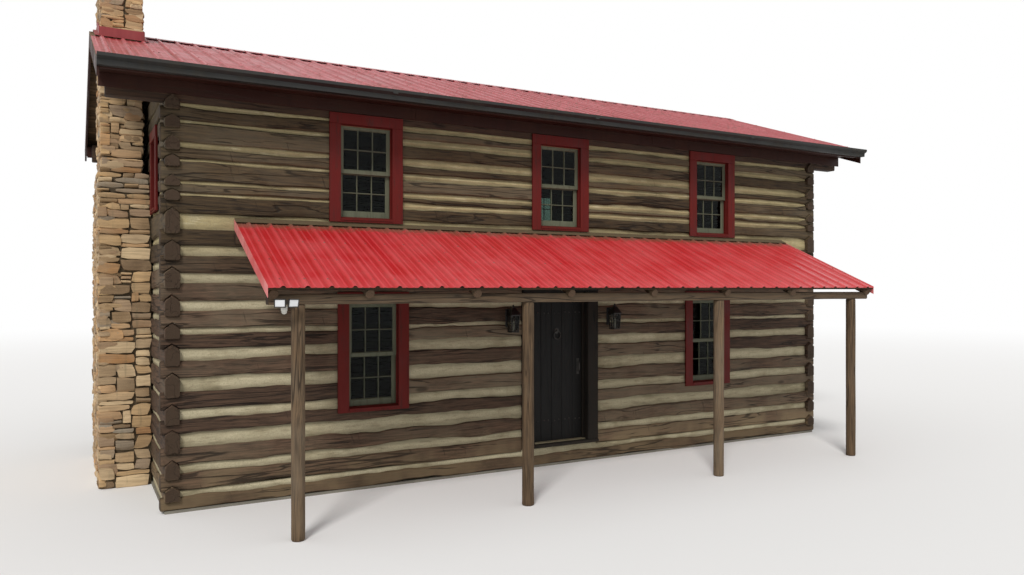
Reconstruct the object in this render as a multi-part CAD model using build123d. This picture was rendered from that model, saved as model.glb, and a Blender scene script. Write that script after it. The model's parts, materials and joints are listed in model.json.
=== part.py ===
from build123d import *
import math
import os

# Two-storey log cabin with V-notched corners, a full-width porch and a stone end chimney.
# All lengths are in millimetres. X runs along the front wall, Y from the front to the rear,
# Z up. While it is built, the front log face lies at Y = 0 and the ground at Z = 0.

# Walls
wall_length = 9920.0
wall_depth = 5120.0
log_thick = 150.0
end_run = 40.0
notch_share = 0.3
chink_inset = 20.0
footing_height = 30.0
footing_ledge = 100.0
footing_joint = 1.0
# Long logs from the ground up: height of each, and the chinked gap beneath it
log_heights = [137, 179, 186, 148, 187, 187, 159, 191, 194, 190, 175, 191, 94, 202, 127, 197, 144]
chink_gaps = [0, 68, 91, 145, 115, 147, 124, 59, 103, 107, 104, 167, 34, 34, 29, 59, 38]
plate_gap = 37.0
plate_height = 260.0
gable_log_height = 185.0
gable_log_gap = 60.0

# Floors
floor_thick = 45.0
ground_floor_rise = 271.0
joist_width = 60.0
joist_pitch = 1050.0
upper_joist_depth = 150.0
upper_floor_top = 2685.0
sill_thick = 40.0

# Main roof
roof_tan = 0.357
heel_height = 153.0
eave_overhang = 410.0
rake_overhang = 650.0
deck_thick = 22.0
rafter_depth = 160.0
rafter_width = 60.0
rafter_pitch = 900.0
ridge_beam_width = 90.0
ridge_beam_depth = 200.0
deck_joint = 4.0
soffit_thick = 20.0
soffit_rise = 20.0
frieze_thick = 22.0
fascia_thick = 25.0
fascia_height = 130.0
barge_thick = 25.0
barge_depth = 170.0
plate_end_run = 560.0
sheet_thick = 3.0
rib_pitch = 228.6
rib_base = 60.0
rib_crest = 22.0
rib_height = 20.0
ridge_cap_wing = 170.0
gutter_width = 120.0
gutter_height = 110.0
gutter_wall = 4.0
gutter_foot_share = 0.62
gutter_step_share = 0.45
gutter_lip_share = 0.25

# Windows: sash size, then the casing that shows around it
upper_sash_width = 636.0
upper_sash_height = 1097.0
upper_sash_sill = 3225.0
upper_window_pitch = 2740.0
lower_sash_width = 617.0
lower_sash_height = 1238.0
lower_sash_sill = 981.0
lower_window_offset = 2650.0
gable_sash_width = 450.0
gable_sash_height = 789.0
gable_sash_sill = 3334.0
gable_window_inset = 1060.0
frame_thick = 38.0
casing_side = 135.0
casing_head = 127.0
casing_foot = 54.0
casing_thick = 25.0
sash_setback = 40.0
sash_thick = 34.0
sash_joint = 3.0
stile_width = 45.0
bottom_rail = 80.0
glass_thick = 4.0

# Front door
leaf_width = 840.0
leaf_height = 2031.0
leaf_thick = 45.0
leaf_gap = 8.0
leaf_setback = 97.0
jamb_width = 172.0
jamb_proud = 40.0
sill_proud = 60.0
head_height = 152.0
stop_width = 25.0
stop_gap = 5.0
pivot_back = 16.0
pin_radius = 6.0
pin_clearance = 0.5
pin_stand = 6.0
pintle_plate_length = 60.0
pintle_plate_offset = 30.0
pintle_plate_thick = 6.0
pintle_arm_length = 60.0
eye_wall = 6.0
strap_height = 45.0
strap_thick = 8.0
strap_length = 620.0
strap_margin = 260.0
strap_root_inset = 2.0
strap_root_start = 12.0
strap_root_end = 40.0
pintle_rest = 0.5
pull_height = 1000.0
pull_inset = 75.0
pull_plate_width = 44.0
pull_plate_height = 220.0
pull_plate_thick = 5.0
pull_bar_width = 18.0
pull_bar_thick = 14.0
pull_bar_length = 160.0
pull_reach = 48.0
knocker_height = 1500.0
knocker_plate_radius = 40.0
knocker_plate_thick = 6.0
knocker_boss_radius = 12.0
knocker_boss_reach = 26.0
knocker_ring_radius = 62.0
knocker_ring_width = 16.0
knocker_ring_thick = 12.0
knocker_ring_gap = 10.0
disc_sides = 12
plank_count = 5
plank_bevel = 5.0

# Porch
porch_half_width = 4250.0
porch_reach = 1680.0
porch_wall_height = 3130.0
porch_eave_height = 2398.0
post_radius = 67.5
post_sides = 16
post_inset = 140.0
outer_post_inset = 310.0
inner_post_x = 1410.0
beam_depth = 100.0
beam_width = 110.0
beam_end_inset = 20.0
pole_radius = 50.0
pole_sides = 10
pole_beam_share = 0.35
pole_ledger_share = 0.5
pole_flat_share = 0.06
pole_start = 990.0
pole_pitch = 1185.0
pole_count = 6
pole_edge = 60.0
pole_tail = 45.0
purlin_thick = 25.0
purlin_width = 90.0
purlin_count = 4
ledger_depth = 120.0
ledger_thick = 50.0
porch_trim_thick = 4.0
porch_trim_leg = 45.0
flashing_upstand = 8.0

# Chimney on the left gable
chimney_base_width = 2180.0
chimney_base_depth = 586.0
chimney_base_height = 3410.0
shoulder_height = 420.0
stack_width = 1460.0
stack_depth = 490.0
stack_wall_gap = 60.0
stack_height = 2700.0
crown_height = 90.0
crown_edge = 45.0
flue_size = 420.0
flue_wall = 40.0
flue_height = 220.0
stack_clearance = 12.0
flashing_height = 110.0
flashing_wing = 45.0
flashing_thick = 4.0

# Lights
lantern_x = 810.0
lantern_base = 1820.0
lantern_height = 360.0
lantern_width = 150.0
lantern_reach = 60.0
lantern_body_share = 0.62
lantern_foot_width = 82.0
lantern_finial_width = 22.0
lantern_eave_lip = 6.0
lantern_plate_width = 90.0
lantern_plate_thick = 12.0
lantern_plate_inset = 60.0
lantern_arm_width = 20.0
lantern_arm_drop = 90.0
flood_inset = 160.0
flood_reach = 140.0
flood_head_radius = 50.0
flood_head_length = 85.0
flood_spread = 116.0
flood_plate_height = 38.0
flood_plate_thick = 12.0
flood_plate_rise = 4.0
flood_plate_end = 12.0
flood_arm_radius = 9.0
flood_stalk_width = 16.0
flood_stalk_gap = 30.0
flood_sensor_size = 62.0
flood_sensor_foot_share = 0.7

# Heights and places that follow
course_bottoms = []
course_tops = []
level = footing_height
for gap, height in zip(chink_gaps, log_heights):
    course_bottoms.append(level + gap)
    level = level + gap + height
    course_tops.append(level)
notches = [notch_share * height for height in log_heights]
plate_bottom = course_tops[-1] + plate_gap
plate_top = plate_bottom + plate_height
plate_notch = notch_share * plate_height
half_length = wall_length / 2
half_clear = half_length - log_thick
ridge_y = wall_depth / 2
roof_angle = math.degrees(math.atan(roof_tan))
roof_cos = math.cos(math.radians(roof_angle))
deck_rise = deck_thick / roof_cos
roof_half_length = half_length + rake_overhang
eave_y = -eave_overhang
ground_floor_top = footing_height + ground_floor_rise
porch_tan = (porch_wall_height - porch_eave_height) / porch_reach
porch_angle = math.degrees(math.atan(porch_tan))
porch_cos = math.cos(math.radians(porch_angle))
post_line = porch_reach - post_inset
outer_post_x = porch_half_width - outer_post_inset
front_reach = post_line + beam_width / 2 + flood_reach
rear_reach = wall_depth + eave_overhang + fascia_thick + gutter_width
middle_y = (rear_reach - front_reach) / 2
door_half = leaf_width / 2 + leaf_gap
doorway_half = door_half + jamb_width
leaf_bottom = ground_floor_top + leaf_gap
leaf_top = leaf_bottom + leaf_height
doorway_top = leaf_top + leaf_gap + head_height
sill_bottom = ground_floor_top - sill_thick
stack_low_y = ridge_y - stack_width / 2
stack_high_y = ridge_y + stack_width / 2
stack_inner_x = -half_length - stack_wall_gap
stack_outer_x = stack_inner_x - stack_depth
stack_bottom = chimney_base_height + shoulder_height
stack_top = stack_bottom + stack_height


def block(x_low, x_high, y_low, y_high, z_low, z_high):
    """Box between two corners."""
    size = Box(x_high - x_low, y_high - y_low, z_high - z_low)
    return Pos((x_low + x_high) / 2, (y_low + y_high) / 2, (z_low + z_high) / 2) * size


def side_prism(points, x_low, x_high):
    """Prism along X from an outline of (Y, Z) points."""
    face = make_face(Plane.YZ * Polyline(*points, close=True))
    return Pos(x_low, 0, 0) * extrude(face, amount=x_high - x_low, dir=(1, 0, 0))


def front_prism(points, y_low, y_high):
    """Prism along Y from an outline of (X, Z) points."""
    face = make_face(Plane.XZ * Polyline(*points, close=True))
    return Pos(0, y_low, 0) * extrude(face, amount=y_high - y_low, dir=(0, 1, 0))


def plan_prism(points, z_low, z_high):
    """Prism along Z from an outline of (X, Y) points."""
    face = make_face(Polyline(*points, close=True))
    return Pos(0, 0, z_low) * extrude(face, amount=z_high - z_low, dir=(0, 0, 1))


def turned_about_cabin(shape):
    """The same piece at the other end of the cabin, turned half round about its middle."""
    return Pos(0, wall_depth, 0) * (Rot(0, 0, 180) * shape)


def solids_of(shape):
    """Separate solids of a shape."""
    return list(shape.solids())


def write(name, shapes):
    """Move a node's solids to the part's origin and write them as one file."""
    solids = []
    for shape in shapes:
        solids.extend(solids_of(shape))
    placed = [Pos(0, -middle_y, 0) * solid for solid in solids]
    node = placed[0] if len(placed) == 1 else Compound(children=placed)
    node.label = name
    export_step(node, f"parts/{name}.step")


def deck_height(y):
    """Top of the rafters, which is the underside of the roof boards, at a distance from the front."""
    from_eave = min(y, wall_depth - y)
    return plate_top + heel_height + roof_tan * from_eave


# Logs

def hewn_log(span, bottom, top, groove, wedge):
    """Log along X from Y = 0, with V grooves under its ends and a ridge cut on their tops."""
    reach = span / 2 + end_run
    half = log_thick / 2
    outline = [(-reach, bottom)]
    if groove > 0:
        for crossing in (-span / 2 + half, span / 2 - half):
            outline.append((crossing - half, bottom))
            outline.append((crossing, bottom + groove))
            outline.append((crossing + half, bottom))
    outline.extend([(reach, bottom), (reach, top), (-reach, top)])
    log = front_prism(outline, 0, log_thick)
    if wedge <= 0:
        return log
    over = half / 5
    drop = wedge * (half + over) / half
    corner = log_thick + end_run + over
    for start in (-reach - over, span / 2 - log_thick):
        for edge in (-over, log_thick + over):
            shaving = [(edge, top - drop), (half, top), (half, top + over), (edge, top + over)]
            log = log - side_prism(shaving, start, start + corner)
    return log


def long_logs():
    """Every long log of one long wall, from the ground up, with its face at Y = 0."""
    logs = []
    for index, (bottom, top, notch) in enumerate(zip(course_bottoms, course_tops, notches)):
        groove = notch if index > 0 else 0
        logs.append(hewn_log(wall_length, bottom, top, groove, notch))
    return logs


def gable_levels():
    """Bottom, top, groove and wedge of each gable log that crosses the long walls."""
    levels = []
    above_bottoms = course_bottoms[1:] + [plate_bottom]
    above_notches = notches[1:] + [plate_notch]
    for top, notch, above, above_notch in zip(course_tops, notches, above_bottoms, above_notches):
        levels.append((top - notch, above + above_notch, notch, above_notch))
    return levels


def gable_head():
    """Space of the gable above the last crossing log, between the plates and under the roof boards."""
    start = gable_levels()[-1][1]
    points = [(log_thick, start), (log_thick, deck_height(log_thick)), (ridge_y, deck_height(ridge_y))]
    points.append((wall_depth - log_thick, deck_height(log_thick)))
    points.append((wall_depth - log_thick, start))
    return side_prism(points, -half_length, -half_clear)


def head_levels():
    """Bottom and top of the short logs that fill the gable's head."""
    levels = []
    bottom = gable_levels()[-1][1] + gable_log_gap
    peak = deck_height(ridge_y)
    while bottom < peak - gable_log_height:
        levels.append((bottom, bottom + gable_log_height))
        bottom = bottom + gable_log_height + gable_log_gap
    return levels


def ridge_beam():
    """Ridge beam from the chimney to the right rake, its top bevelled under the roof boards."""
    half = ridge_beam_width / 2
    shoulder = deck_height(ridge_y - half)
    low = shoulder - ridge_beam_depth
    points = [(ridge_y - half, low), (ridge_y + half, low), (ridge_y + half, shoulder)]
    points.append((ridge_y, deck_height(ridge_y)))
    points.append((ridge_y - half, shoulder))
    return side_prism(points, stack_inner_x + stack_clearance, roof_half_length - barge_thick)


def window_places():
    """Centre, sill and sash size of each window on the front wall."""
    places = []
    for step in (-1, 0, 1):
        places.append((step * upper_window_pitch, upper_sash_sill, upper_sash_width, upper_sash_height))
    for side in (-1, 1):
        places.append((side * lower_window_offset, lower_sash_sill, lower_sash_width, lower_sash_height))
    return places


def gable_window_places():
    """Centre, sill and sash size of the two windows that flank the gable's middle."""
    offset = ridge_y - gable_window_inset
    size = (gable_sash_sill, gable_sash_width, gable_sash_height)
    return [(-offset, *size), (offset, *size)]


def window_hole(place):
    """Hole in a wall along X for one window's frame."""
    centre, sill, width, height = place
    half = width / 2 + frame_thick
    return block(centre - half, centre + half, -end_run, log_thick + end_run,
                 sill - frame_thick, sill + height + frame_thick)


def doorway_hole():
    """Hole in the front wall for the door's frame, from the bottom of the second log."""
    return block(-doorway_half, doorway_half, -end_run, log_thick + end_run,
                 course_bottoms[1], doorway_top)


def cut_all(shape, holes):
    """A shape less each hole whose height it shares."""
    box = shape.bounding_box()
    for hole in holes:
        hole_box = hole.bounding_box()
        if hole_box.min.Z < box.max.Z and hole_box.max.Z > box.min.Z:
            shape = shape - hole
    return shape


def long_chinking(low_levels, high_levels, holes):
    """Mortar strips between the long logs, set back from both faces."""
    strips = []
    for low, high in zip(low_levels, high_levels):
        strip = block(-half_clear, half_clear, chink_inset, log_thick - chink_inset, low, high)
        strips.append(cut_all(strip, holes))
    return strips


def to_left_gable(shape):
    """Turn a wall piece built along X so that its face becomes the left gable's outer face."""
    return Pos(-half_length, ridge_y, 0) * (Rot(0, 0, -90) * shape)


def gable_logs(beam):
    """Logs of the left gable wall, up to the peak."""
    holes = [window_hole(place) for place in gable_window_places()]
    logs = []
    for bottom, top, groove, wedge in gable_levels():
        log = cut_all(hewn_log(wall_depth, bottom, top, groove, wedge), holes)
        logs.append(to_left_gable(log))
    head = gable_head() - beam
    for bottom, top in head_levels():
        band = block(-half_length, -half_clear, 0, wall_depth, bottom, top)
        logs.append(cut_all(head & band, [to_left_gable(hole) for hole in holes]))
    return logs


def gable_chinking(beam):
    """Mortar strips of the left gable wall, up to the peak."""
    holes = [window_hole(place) for place in gable_window_places()]
    levels = gable_levels()
    lows = [footing_height] + [level[1] for level in levels[:-1]]
    highs = [level[0] for level in levels]
    strips = []
    half = wall_depth / 2 - log_thick
    for low, high in zip(lows, highs):
        strip = block(-half, half, chink_inset, log_thick - chink_inset, low, high)
        strips.append(to_left_gable(cut_all(strip, holes)))
    head = gable_head() - beam
    lows = [levels[-1][1]] + [top for bottom, top in head_levels()]
    highs = [bottom for bottom, top in head_levels()] + [deck_height(ridge_y)]
    for low, high in zip(lows, highs):
        band = block(-half_length + chink_inset, -half_clear - chink_inset, 0, wall_depth, low, high)
        strips.append(cut_all(head & band, [to_left_gable(hole) for hole in holes]))
    return strips


def write_walls():
    """Write the log walls, their chinking and the wall plates."""
    front_holes = [window_hole(place) for place in window_places()]
    front_holes.append(doorway_hole())
    rear_holes = front_holes[:-1]
    long_run = []
    beside = {"left": [], "right": []}
    rear = []
    for log in long_logs():
        pieces = solids_of(cut_all(log, front_holes))
        box = log.bounding_box()
        runs_past_door = box.max.Z < course_bottoms[1] or box.min.Z > doorway_top - 1
        for piece in pieces:
            if runs_past_door:
                long_run.append(piece)
            else:
                side = "left" if piece.center().X < 0 else "right"
                beside[side].append(piece)
        rear.append(Pos(0, wall_depth - log_thick, 0) * cut_all(log, rear_holes))
    write("front_logs_long", long_run)
    write("front_logs_left", beside["left"])
    write("front_logs_right", beside["right"])
    write("rear_logs", rear)
    lows = course_tops
    highs = course_bottoms[1:] + [plate_bottom]
    strips = long_chinking(lows, highs, front_holes)
    under_sill = block(-doorway_half, doorway_half, chink_inset, log_thick - chink_inset,
                       course_tops[0], sill_bottom)
    strips[0] = strips[0] + under_sill
    write("front_chinking", strips)
    rear_strips = long_chinking(lows, highs, rear_holes)
    write("rear_chinking", [Pos(0, wall_depth - log_thick, 0) * strip for strip in rear_strips])
    beam = ridge_beam()
    left_logs = gable_logs(beam)
    left_chinking = gable_chinking(beam)
    write("left_gable_logs", left_logs)
    write("right_gable_logs", [turned_about_cabin(log) for log in left_logs])
    write("left_gable_chinking", left_chinking)
    write("right_gable_chinking", [turned_about_cabin(strip) for strip in left_chinking])
    write("wall_plates", [wall_plate(), turned_about_cabin(wall_plate())])
    write("ridge_beam", [beam])


def wall_plate():
    """Heavy top timber of the front wall, run out past the gables to carry the rake."""
    reach = half_length + plate_end_run
    half = log_thick / 2
    outline = [(-reach, plate_bottom)]
    for crossing in (-half_length + half, half_length - half):
        outline.append((crossing - half, plate_bottom))
        outline.append((crossing, plate_bottom + plate_notch))
        outline.append((crossing + half, plate_bottom))
    outline.extend([(reach, plate_bottom), (reach, plate_top), (-reach, plate_top)])
    return front_prism(outline, 0, log_thick)


# Footing and floors

def write_floors():
    """Write the footing strips, the joists and both floors."""
    inner = log_thick + footing_ledge
    front_strip = block(-half_length, half_length, 0, inner, 0, footing_height)
    side_strip = block(-half_length, -half_length + inner, inner + footing_joint,
                       wall_depth - inner - footing_joint, 0, footing_height)
    strips = [front_strip, turned_about_cabin(front_strip)]
    strips.extend([side_strip, turned_about_cabin(side_strip)])
    write("footing", strips)
    rear_face = wall_depth - log_thick
    count = int((2 * half_clear - joist_width) // joist_pitch) + 1
    first = -(count - 1) / 2 * joist_pitch
    upper_joist_top = upper_floor_top - floor_thick
    joists = []
    for index in range(count):
        x_low = first + index * joist_pitch - joist_width / 2
        x_high = x_low + joist_width
        joists.append(block(x_low, x_high, log_thick, rear_face, footing_height,
                            ground_floor_top - floor_thick))
        joists.append(block(x_low, x_high, log_thick, rear_face,
                            upper_joist_top - upper_joist_depth, upper_joist_top))
    write("floor_joists", joists)
    write("ground_floor", [block(-half_clear, half_clear, log_thick, rear_face,
                                 ground_floor_top - floor_thick, ground_floor_top)])
    write("upper_floor", [block(-half_clear, half_clear, log_thick, rear_face,
                                upper_floor_top - floor_thick, upper_floor_top)])


# Main roof

def ribbed_outline(half_width, rib_places, hollow):
    """Outline of ribbed sheet metal across its ribs, as (X, height) points."""
    top = [(-half_width, sheet_thick)]
    under = [(-half_width, 0)]
    for centre in rib_places:
        for edge, rise in ((-rib_base / 2, 0), (-rib_crest / 2, rib_height),
                           (rib_crest / 2, rib_height), (rib_base / 2, 0)):
            top.append((centre + edge, rise + sheet_thick))
            if hollow:
                inner = edge * (1 - sheet_thick / rib_base)
                under.append((centre + inner, rise))
    top.append((half_width, sheet_thick))
    under.append((half_width, 0))
    return under + top[::-1]


def rib_places_within(half_width):
    """Rib centres at the rib pitch, spread evenly about the middle of a roof."""
    count = int((2 * half_width - rib_base) // rib_pitch) + 1
    first = -(count - 1) / 2 * rib_pitch
    return [first + index * rib_pitch for index in range(count)]


def ribbed_sheet(half_width, run, slope_angle, hollow):
    """Ribbed sheet rising along +Y from the origin at a slope, with ribs open or backed beneath."""
    outline = ribbed_outline(half_width, rib_places_within(half_width), hollow)
    length = run / math.cos(math.radians(slope_angle))
    sheet = front_prism(outline, 0, length)
    return Rot(slope_angle, 0, 0) * sheet


def stack_hole(clearance):
    """Hole in the roof for the chimney stack."""
    return block(stack_outer_x - clearance, stack_inner_x + clearance,
                 stack_low_y - clearance, stack_high_y + clearance,
                 plate_top, stack_top)


def roof_board(y_low, y_high, x_low, x_high, low_offset, high_offset):
    """Board on the front slope between two distances from the front, offset up from the rafters."""
    points = [(y_low, deck_height(y_low) + low_offset), (y_high, deck_height(y_high) + low_offset)]
    points.append((y_high, deck_height(y_high) + high_offset))
    points.append((y_low, deck_height(y_low) + high_offset))
    return side_prism(points, x_low, x_high)


def main_rafters():
    """Rafters of the front slope, notched over the plate and cut level over the soffit."""
    drop = rafter_depth / roof_cos
    plate_box = block(-roof_half_length, roof_half_length, 0, log_thick, plate_bottom, plate_top)
    under_soffit = block(-roof_half_length, roof_half_length, eave_y, 0, 0,
                         plate_top - soffit_rise)
    count = int((2 * half_clear - rafter_width) // rafter_pitch) + 1
    first = -(count - 1) / 2 * rafter_pitch
    rafters = []
    for index in range(count):
        x_low = first + index * rafter_pitch - rafter_width / 2
        rafter = roof_board(eave_y, ridge_y - ridge_beam_width / 2, x_low, x_low + rafter_width, -drop, 0)
        rafters.append(rafter - plate_box - under_soffit)
    return rafters


def eave_boards():
    """Frieze, soffit and fascia of the front eave, as one boxed-in eave."""
    half = roof_half_length - barge_thick
    soffit_top = plate_top - soffit_rise
    soffit = block(-half, half, eave_y, 0, soffit_top - soffit_thick, soffit_top)
    fascia_top = deck_height(eave_y) + deck_rise
    fascia = block(-half, half, eave_y - fascia_thick, eave_y, fascia_top - fascia_height, fascia_top)
    frieze_low = gable_levels()[-1][1]
    frieze = block(-half, half, -frieze_thick, 0, frieze_low, soffit_top - soffit_thick)
    return soffit + fascia + frieze


def gutter():
    """Open gutter hung on the front fascia, with a stepped face and closed ends."""
    top = deck_height(eave_y) + deck_rise - gutter_wall
    low = top - gutter_height
    back = eave_y - fascia_thick
    front = back - gutter_width
    foot = back - gutter_width * gutter_foot_share
    step = low + gutter_height * gutter_step_share
    lip = step + gutter_height * gutter_lip_share
    outer = [(back, top), (back, low), (foot, low), (foot - gutter_wall, step)]
    outer.extend([(front, lip), (front, top)])
    wall = gutter_wall
    inner = [(back - wall, top + wall), (back - wall, low + wall), (foot + wall / 2, low + wall)]
    inner.extend([(foot, step + wall), (front + wall, lip + wall)])
    inner.append((front + wall, top + wall))
    half = roof_half_length
    return side_prism(outer, -half, half) - side_prism(inner, -half + wall, half - wall)


def barge_board(x_low):
    """Board that closes one rake of the front slope."""
    drop = barge_depth / roof_cos
    return roof_board(eave_y - fascia_thick, ridge_y - deck_joint / 2, x_low, x_low + barge_thick, -drop, 0)


def ridge_cap():
    """Folded metal cap over the ridge, from rake to rake, open where the chimney stands."""
    seat = deck_rise + (sheet_thick + rib_height) / roof_cos
    peak = deck_height(ridge_y) + seat
    low_y = ridge_y - ridge_cap_wing
    high_y = ridge_y + ridge_cap_wing
    wing_low = deck_height(low_y) + seat
    lift = sheet_thick / roof_cos
    points = [(low_y, wing_low), (ridge_y, peak), (high_y, wing_low), (high_y, wing_low + lift)]
    points.extend([(ridge_y, peak + lift), (low_y, wing_low + lift)])
    return side_prism(points, stack_inner_x + stack_clearance + flashing_wing, roof_half_length)


def write_roof():
    """Write the main roof from the rafters to the ridge cap."""
    rafters = main_rafters()
    write("main_rafters", rafters + [turned_about_cabin(rafter) for rafter in rafters])
    hole = stack_hole(stack_clearance)
    deck_edge = ridge_y - deck_joint / 2
    deck = roof_board(eave_y, deck_edge, -roof_half_length, roof_half_length, 0, deck_rise)
    write("roof_boards", [deck - hole, turned_about_cabin(deck) - hole])
    sheet = ribbed_sheet(roof_half_length, deck_edge - eave_y, roof_angle, False)
    sheet = Pos(0, eave_y, deck_height(eave_y) + deck_rise) * sheet
    write("main_roof_front", [sheet - hole])
    write("main_roof_rear", [turned_about_cabin(sheet) - hole])
    write("ridge_cap", [ridge_cap()])
    write("eave_boards", [eave_boards(), turned_about_cabin(eave_boards())])
    write("gutters", [gutter(), turned_about_cabin(gutter())])
    left = barge_board(-roof_half_length)
    right = barge_board(roof_half_length - barge_thick)
    boards = [left, right, turned_about_cabin(left), turned_about_cabin(right)]
    write("barge_boards", boards)


# Windows

def window_frame(place):
    """Box frame through the wall with a flat casing on the outer face, for a wall along X."""
    centre, sill, width, height = place
    half = width / 2
    top = sill + height
    box = block(centre - half - frame_thick, centre + half + frame_thick, 0, log_thick,
                sill - frame_thick, top + frame_thick)
    casing = block(centre - half - casing_side, centre + half + casing_side, -casing_thick, 0,
                   sill - casing_foot, top + casing_head)
    opening = block(centre - half, centre + half, -casing_thick - 1, log_thick + 1, sill, top)
    return box + casing - opening


def sash(centre, sill, width, height, y_low, foot):
    """One sash as a ring of stiles and rails."""
    half = width / 2
    outer = block(centre - half, centre + half, y_low, y_low + sash_thick, sill, sill + height)
    light = block(centre - half + stile_width, centre + half - stile_width, y_low - 1,
                  y_low + sash_thick + 1, sill + foot, sill + height - stile_width)
    return outer - light


def pane(centre, sill, width, height, y_low, foot):
    """Glass of one sash."""
    half = width / 2 - stile_width
    middle = y_low + sash_thick / 2
    return block(centre - half, centre + half, middle - glass_thick / 2, middle + glass_thick / 2,
                 sill + foot, sill + height - stile_width)


def sash_pair(place, maker):
    """Upper sash in the outer plane and lower sash behind it, or their glass."""
    centre, sill, width, height = place
    overlap = stile_width / 2
    half_height = height / 2
    inner_y = sash_setback + sash_thick + sash_joint
    upper = maker(centre, sill + half_height - overlap, width, half_height + overlap,
                  sash_setback, stile_width)
    lower = maker(centre, sill, width, half_height + overlap, inner_y, bottom_rail)
    return [upper, lower]


def write_windows():
    """Write the frames, sashes and glass of every window."""
    front = window_places()
    side = gable_window_places()
    front_frames = [window_frame(place) for place in front]
    write("front_window_frames", front_frames)
    write("rear_window_frames", [turned_about_cabin(frame) for frame in front_frames])
    gable_frames = [to_left_gable(window_frame(place)) for place in side]
    write("gable_window_frames", gable_frames + [turned_about_cabin(frame) for frame in gable_frames])
    for name, maker in (("window_sashes", sash), ("window_glass", pane)):
        pieces = []
        for place in front:
            pieces.extend(sash_pair(place, maker))
        for place in side:
            pieces.extend(to_left_gable(piece) for piece in sash_pair(place, maker))
        write(name, pieces + [turned_about_cabin(piece) for piece in pieces])


# Front door

def door_frame():
    """Heavy jambs, head, sill and stops of the doorway, with the pintles that carry the leaf."""
    outer = block(-doorway_half, doorway_half, -jamb_proud, log_thick, sill_bottom, doorway_top)
    clear = block(-door_half, door_half, -jamb_proud - 1, log_thick + 1, ground_floor_top,
                  leaf_top + leaf_gap)
    sill_nose = block(-doorway_half, doorway_half, -sill_proud, -jamb_proud, sill_bottom,
                      ground_floor_top)
    frame = outer - clear + sill_nose
    stop_low = leaf_setback - stop_gap - stop_width
    stop_high = leaf_setback - stop_gap
    for side in (-1, 1):
        edges = sorted((side * door_half, side * (door_half - stop_width)))
        frame = frame + block(edges[0], edges[1], stop_low, stop_high, ground_floor_top,
                              leaf_top + leaf_gap)
    frame = frame + block(-door_half, door_half, stop_low, stop_high,
                          leaf_top + leaf_gap - stop_width, leaf_top + leaf_gap)
    for level in strap_levels():
        frame = frame + pintle(level)
    return frame


def hinge_place():
    """X and Y of the door's hinge line, behind the left jamb's inner corner."""
    return (-door_half + leaf_gap / 2, log_thick + pivot_back)


def strap_levels():
    """Bottom of each strap hinge."""
    return [leaf_bottom + strap_margin, leaf_top - strap_margin - strap_height]


def pintle(level):
    """Iron arm on the jamb's back with an upright pin under and through a strap's eye."""
    x, y = hinge_place()
    eye_radius = pin_radius + pin_clearance + eye_wall
    low = level - pintle_rest - strap_height
    plate_end = x - pintle_plate_offset
    plate = block(plate_end - pintle_plate_length, plate_end, log_thick, log_thick + pintle_plate_thick,
                  low, low + 2 * strap_height)
    arm = block(x - pintle_arm_length, x + pin_radius, log_thick, y + eye_radius / 2,
                low, level - pintle_rest)
    pin_low = level - pintle_rest
    pin_high = level + strap_height + pin_stand
    pin = Pos(x, y, (pin_low + pin_high) / 2) * Cylinder(pin_radius, pin_high - pin_low)
    return plate + arm + pin


def strap(level):
    """Strap hinge on the leaf's inner face, with an eye round the pintle's pin."""
    x, y = hinge_place()
    leaf_back = leaf_setback + leaf_thick
    eye_radius = pin_radius + pin_clearance + eye_wall
    middle = level + strap_height / 2
    eye = Pos(x, y, level) * extrude(RegularPolygon(eye_radius, disc_sides), amount=strap_height)
    flat = block(x + eye_radius, x + strap_length, leaf_back, leaf_back + strap_thick,
                 level, level + strap_height)
    root_x = x + strap_root_inset
    root_end = x + eye_radius + strap_root_end
    outline = [(root_x, y - eye_radius + strap_root_inset), (x + eye_radius + strap_root_start, leaf_back)]
    outline.extend([(root_end, leaf_back), (root_end, leaf_back + strap_thick)])
    outline.append((root_x, y + eye_radius - 2 * strap_root_inset))
    root = plan_prism(outline, level, level + strap_height)
    bore = Pos(x, y, middle) * Cylinder(pin_radius + pin_clearance, 2 * strap_height)
    return eye + root + flat - bore


def front_door():
    """Plank leaf in the shut position, with a V joint between planks on both faces."""
    half = leaf_width / 2
    back = leaf_setback + leaf_thick
    joints = [-half + leaf_width * index / plank_count for index in range(1, plank_count)]
    outline = [(-half, leaf_setback)]
    for x in joints:
        outline.extend([(x - plank_bevel, leaf_setback), (x, leaf_setback + plank_bevel)])
        outline.append((x + plank_bevel, leaf_setback))
    outline.extend([(half, leaf_setback), (half, back)])
    for x in reversed(joints):
        outline.extend([(x + plank_bevel, back), (x, back - plank_bevel), (x - plank_bevel, back)])
    outline.append((-half, back))
    return plan_prism(outline, leaf_bottom, leaf_top)


def pull_handle():
    """Iron pull on the leaf's outer face."""
    x = leaf_width / 2 - pull_inset
    z = leaf_bottom + pull_height
    front_y = leaf_setback - pull_reach
    half = pull_bar_width / 2
    handle = block(x - pull_plate_width / 2, x + pull_plate_width / 2, leaf_setback - pull_plate_thick,
                   leaf_setback, z - pull_plate_height / 2, z + pull_plate_height / 2)
    handle = handle + block(x - half, x + half, front_y, front_y + pull_bar_thick,
                            z - pull_bar_length / 2, z + pull_bar_length / 2)
    for middle in (z - pull_bar_length / 2 + half, z + pull_bar_length / 2 - half):
        handle = handle + block(x - half, x + half, front_y, leaf_setback, middle - half, middle + half)
    return handle


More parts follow.
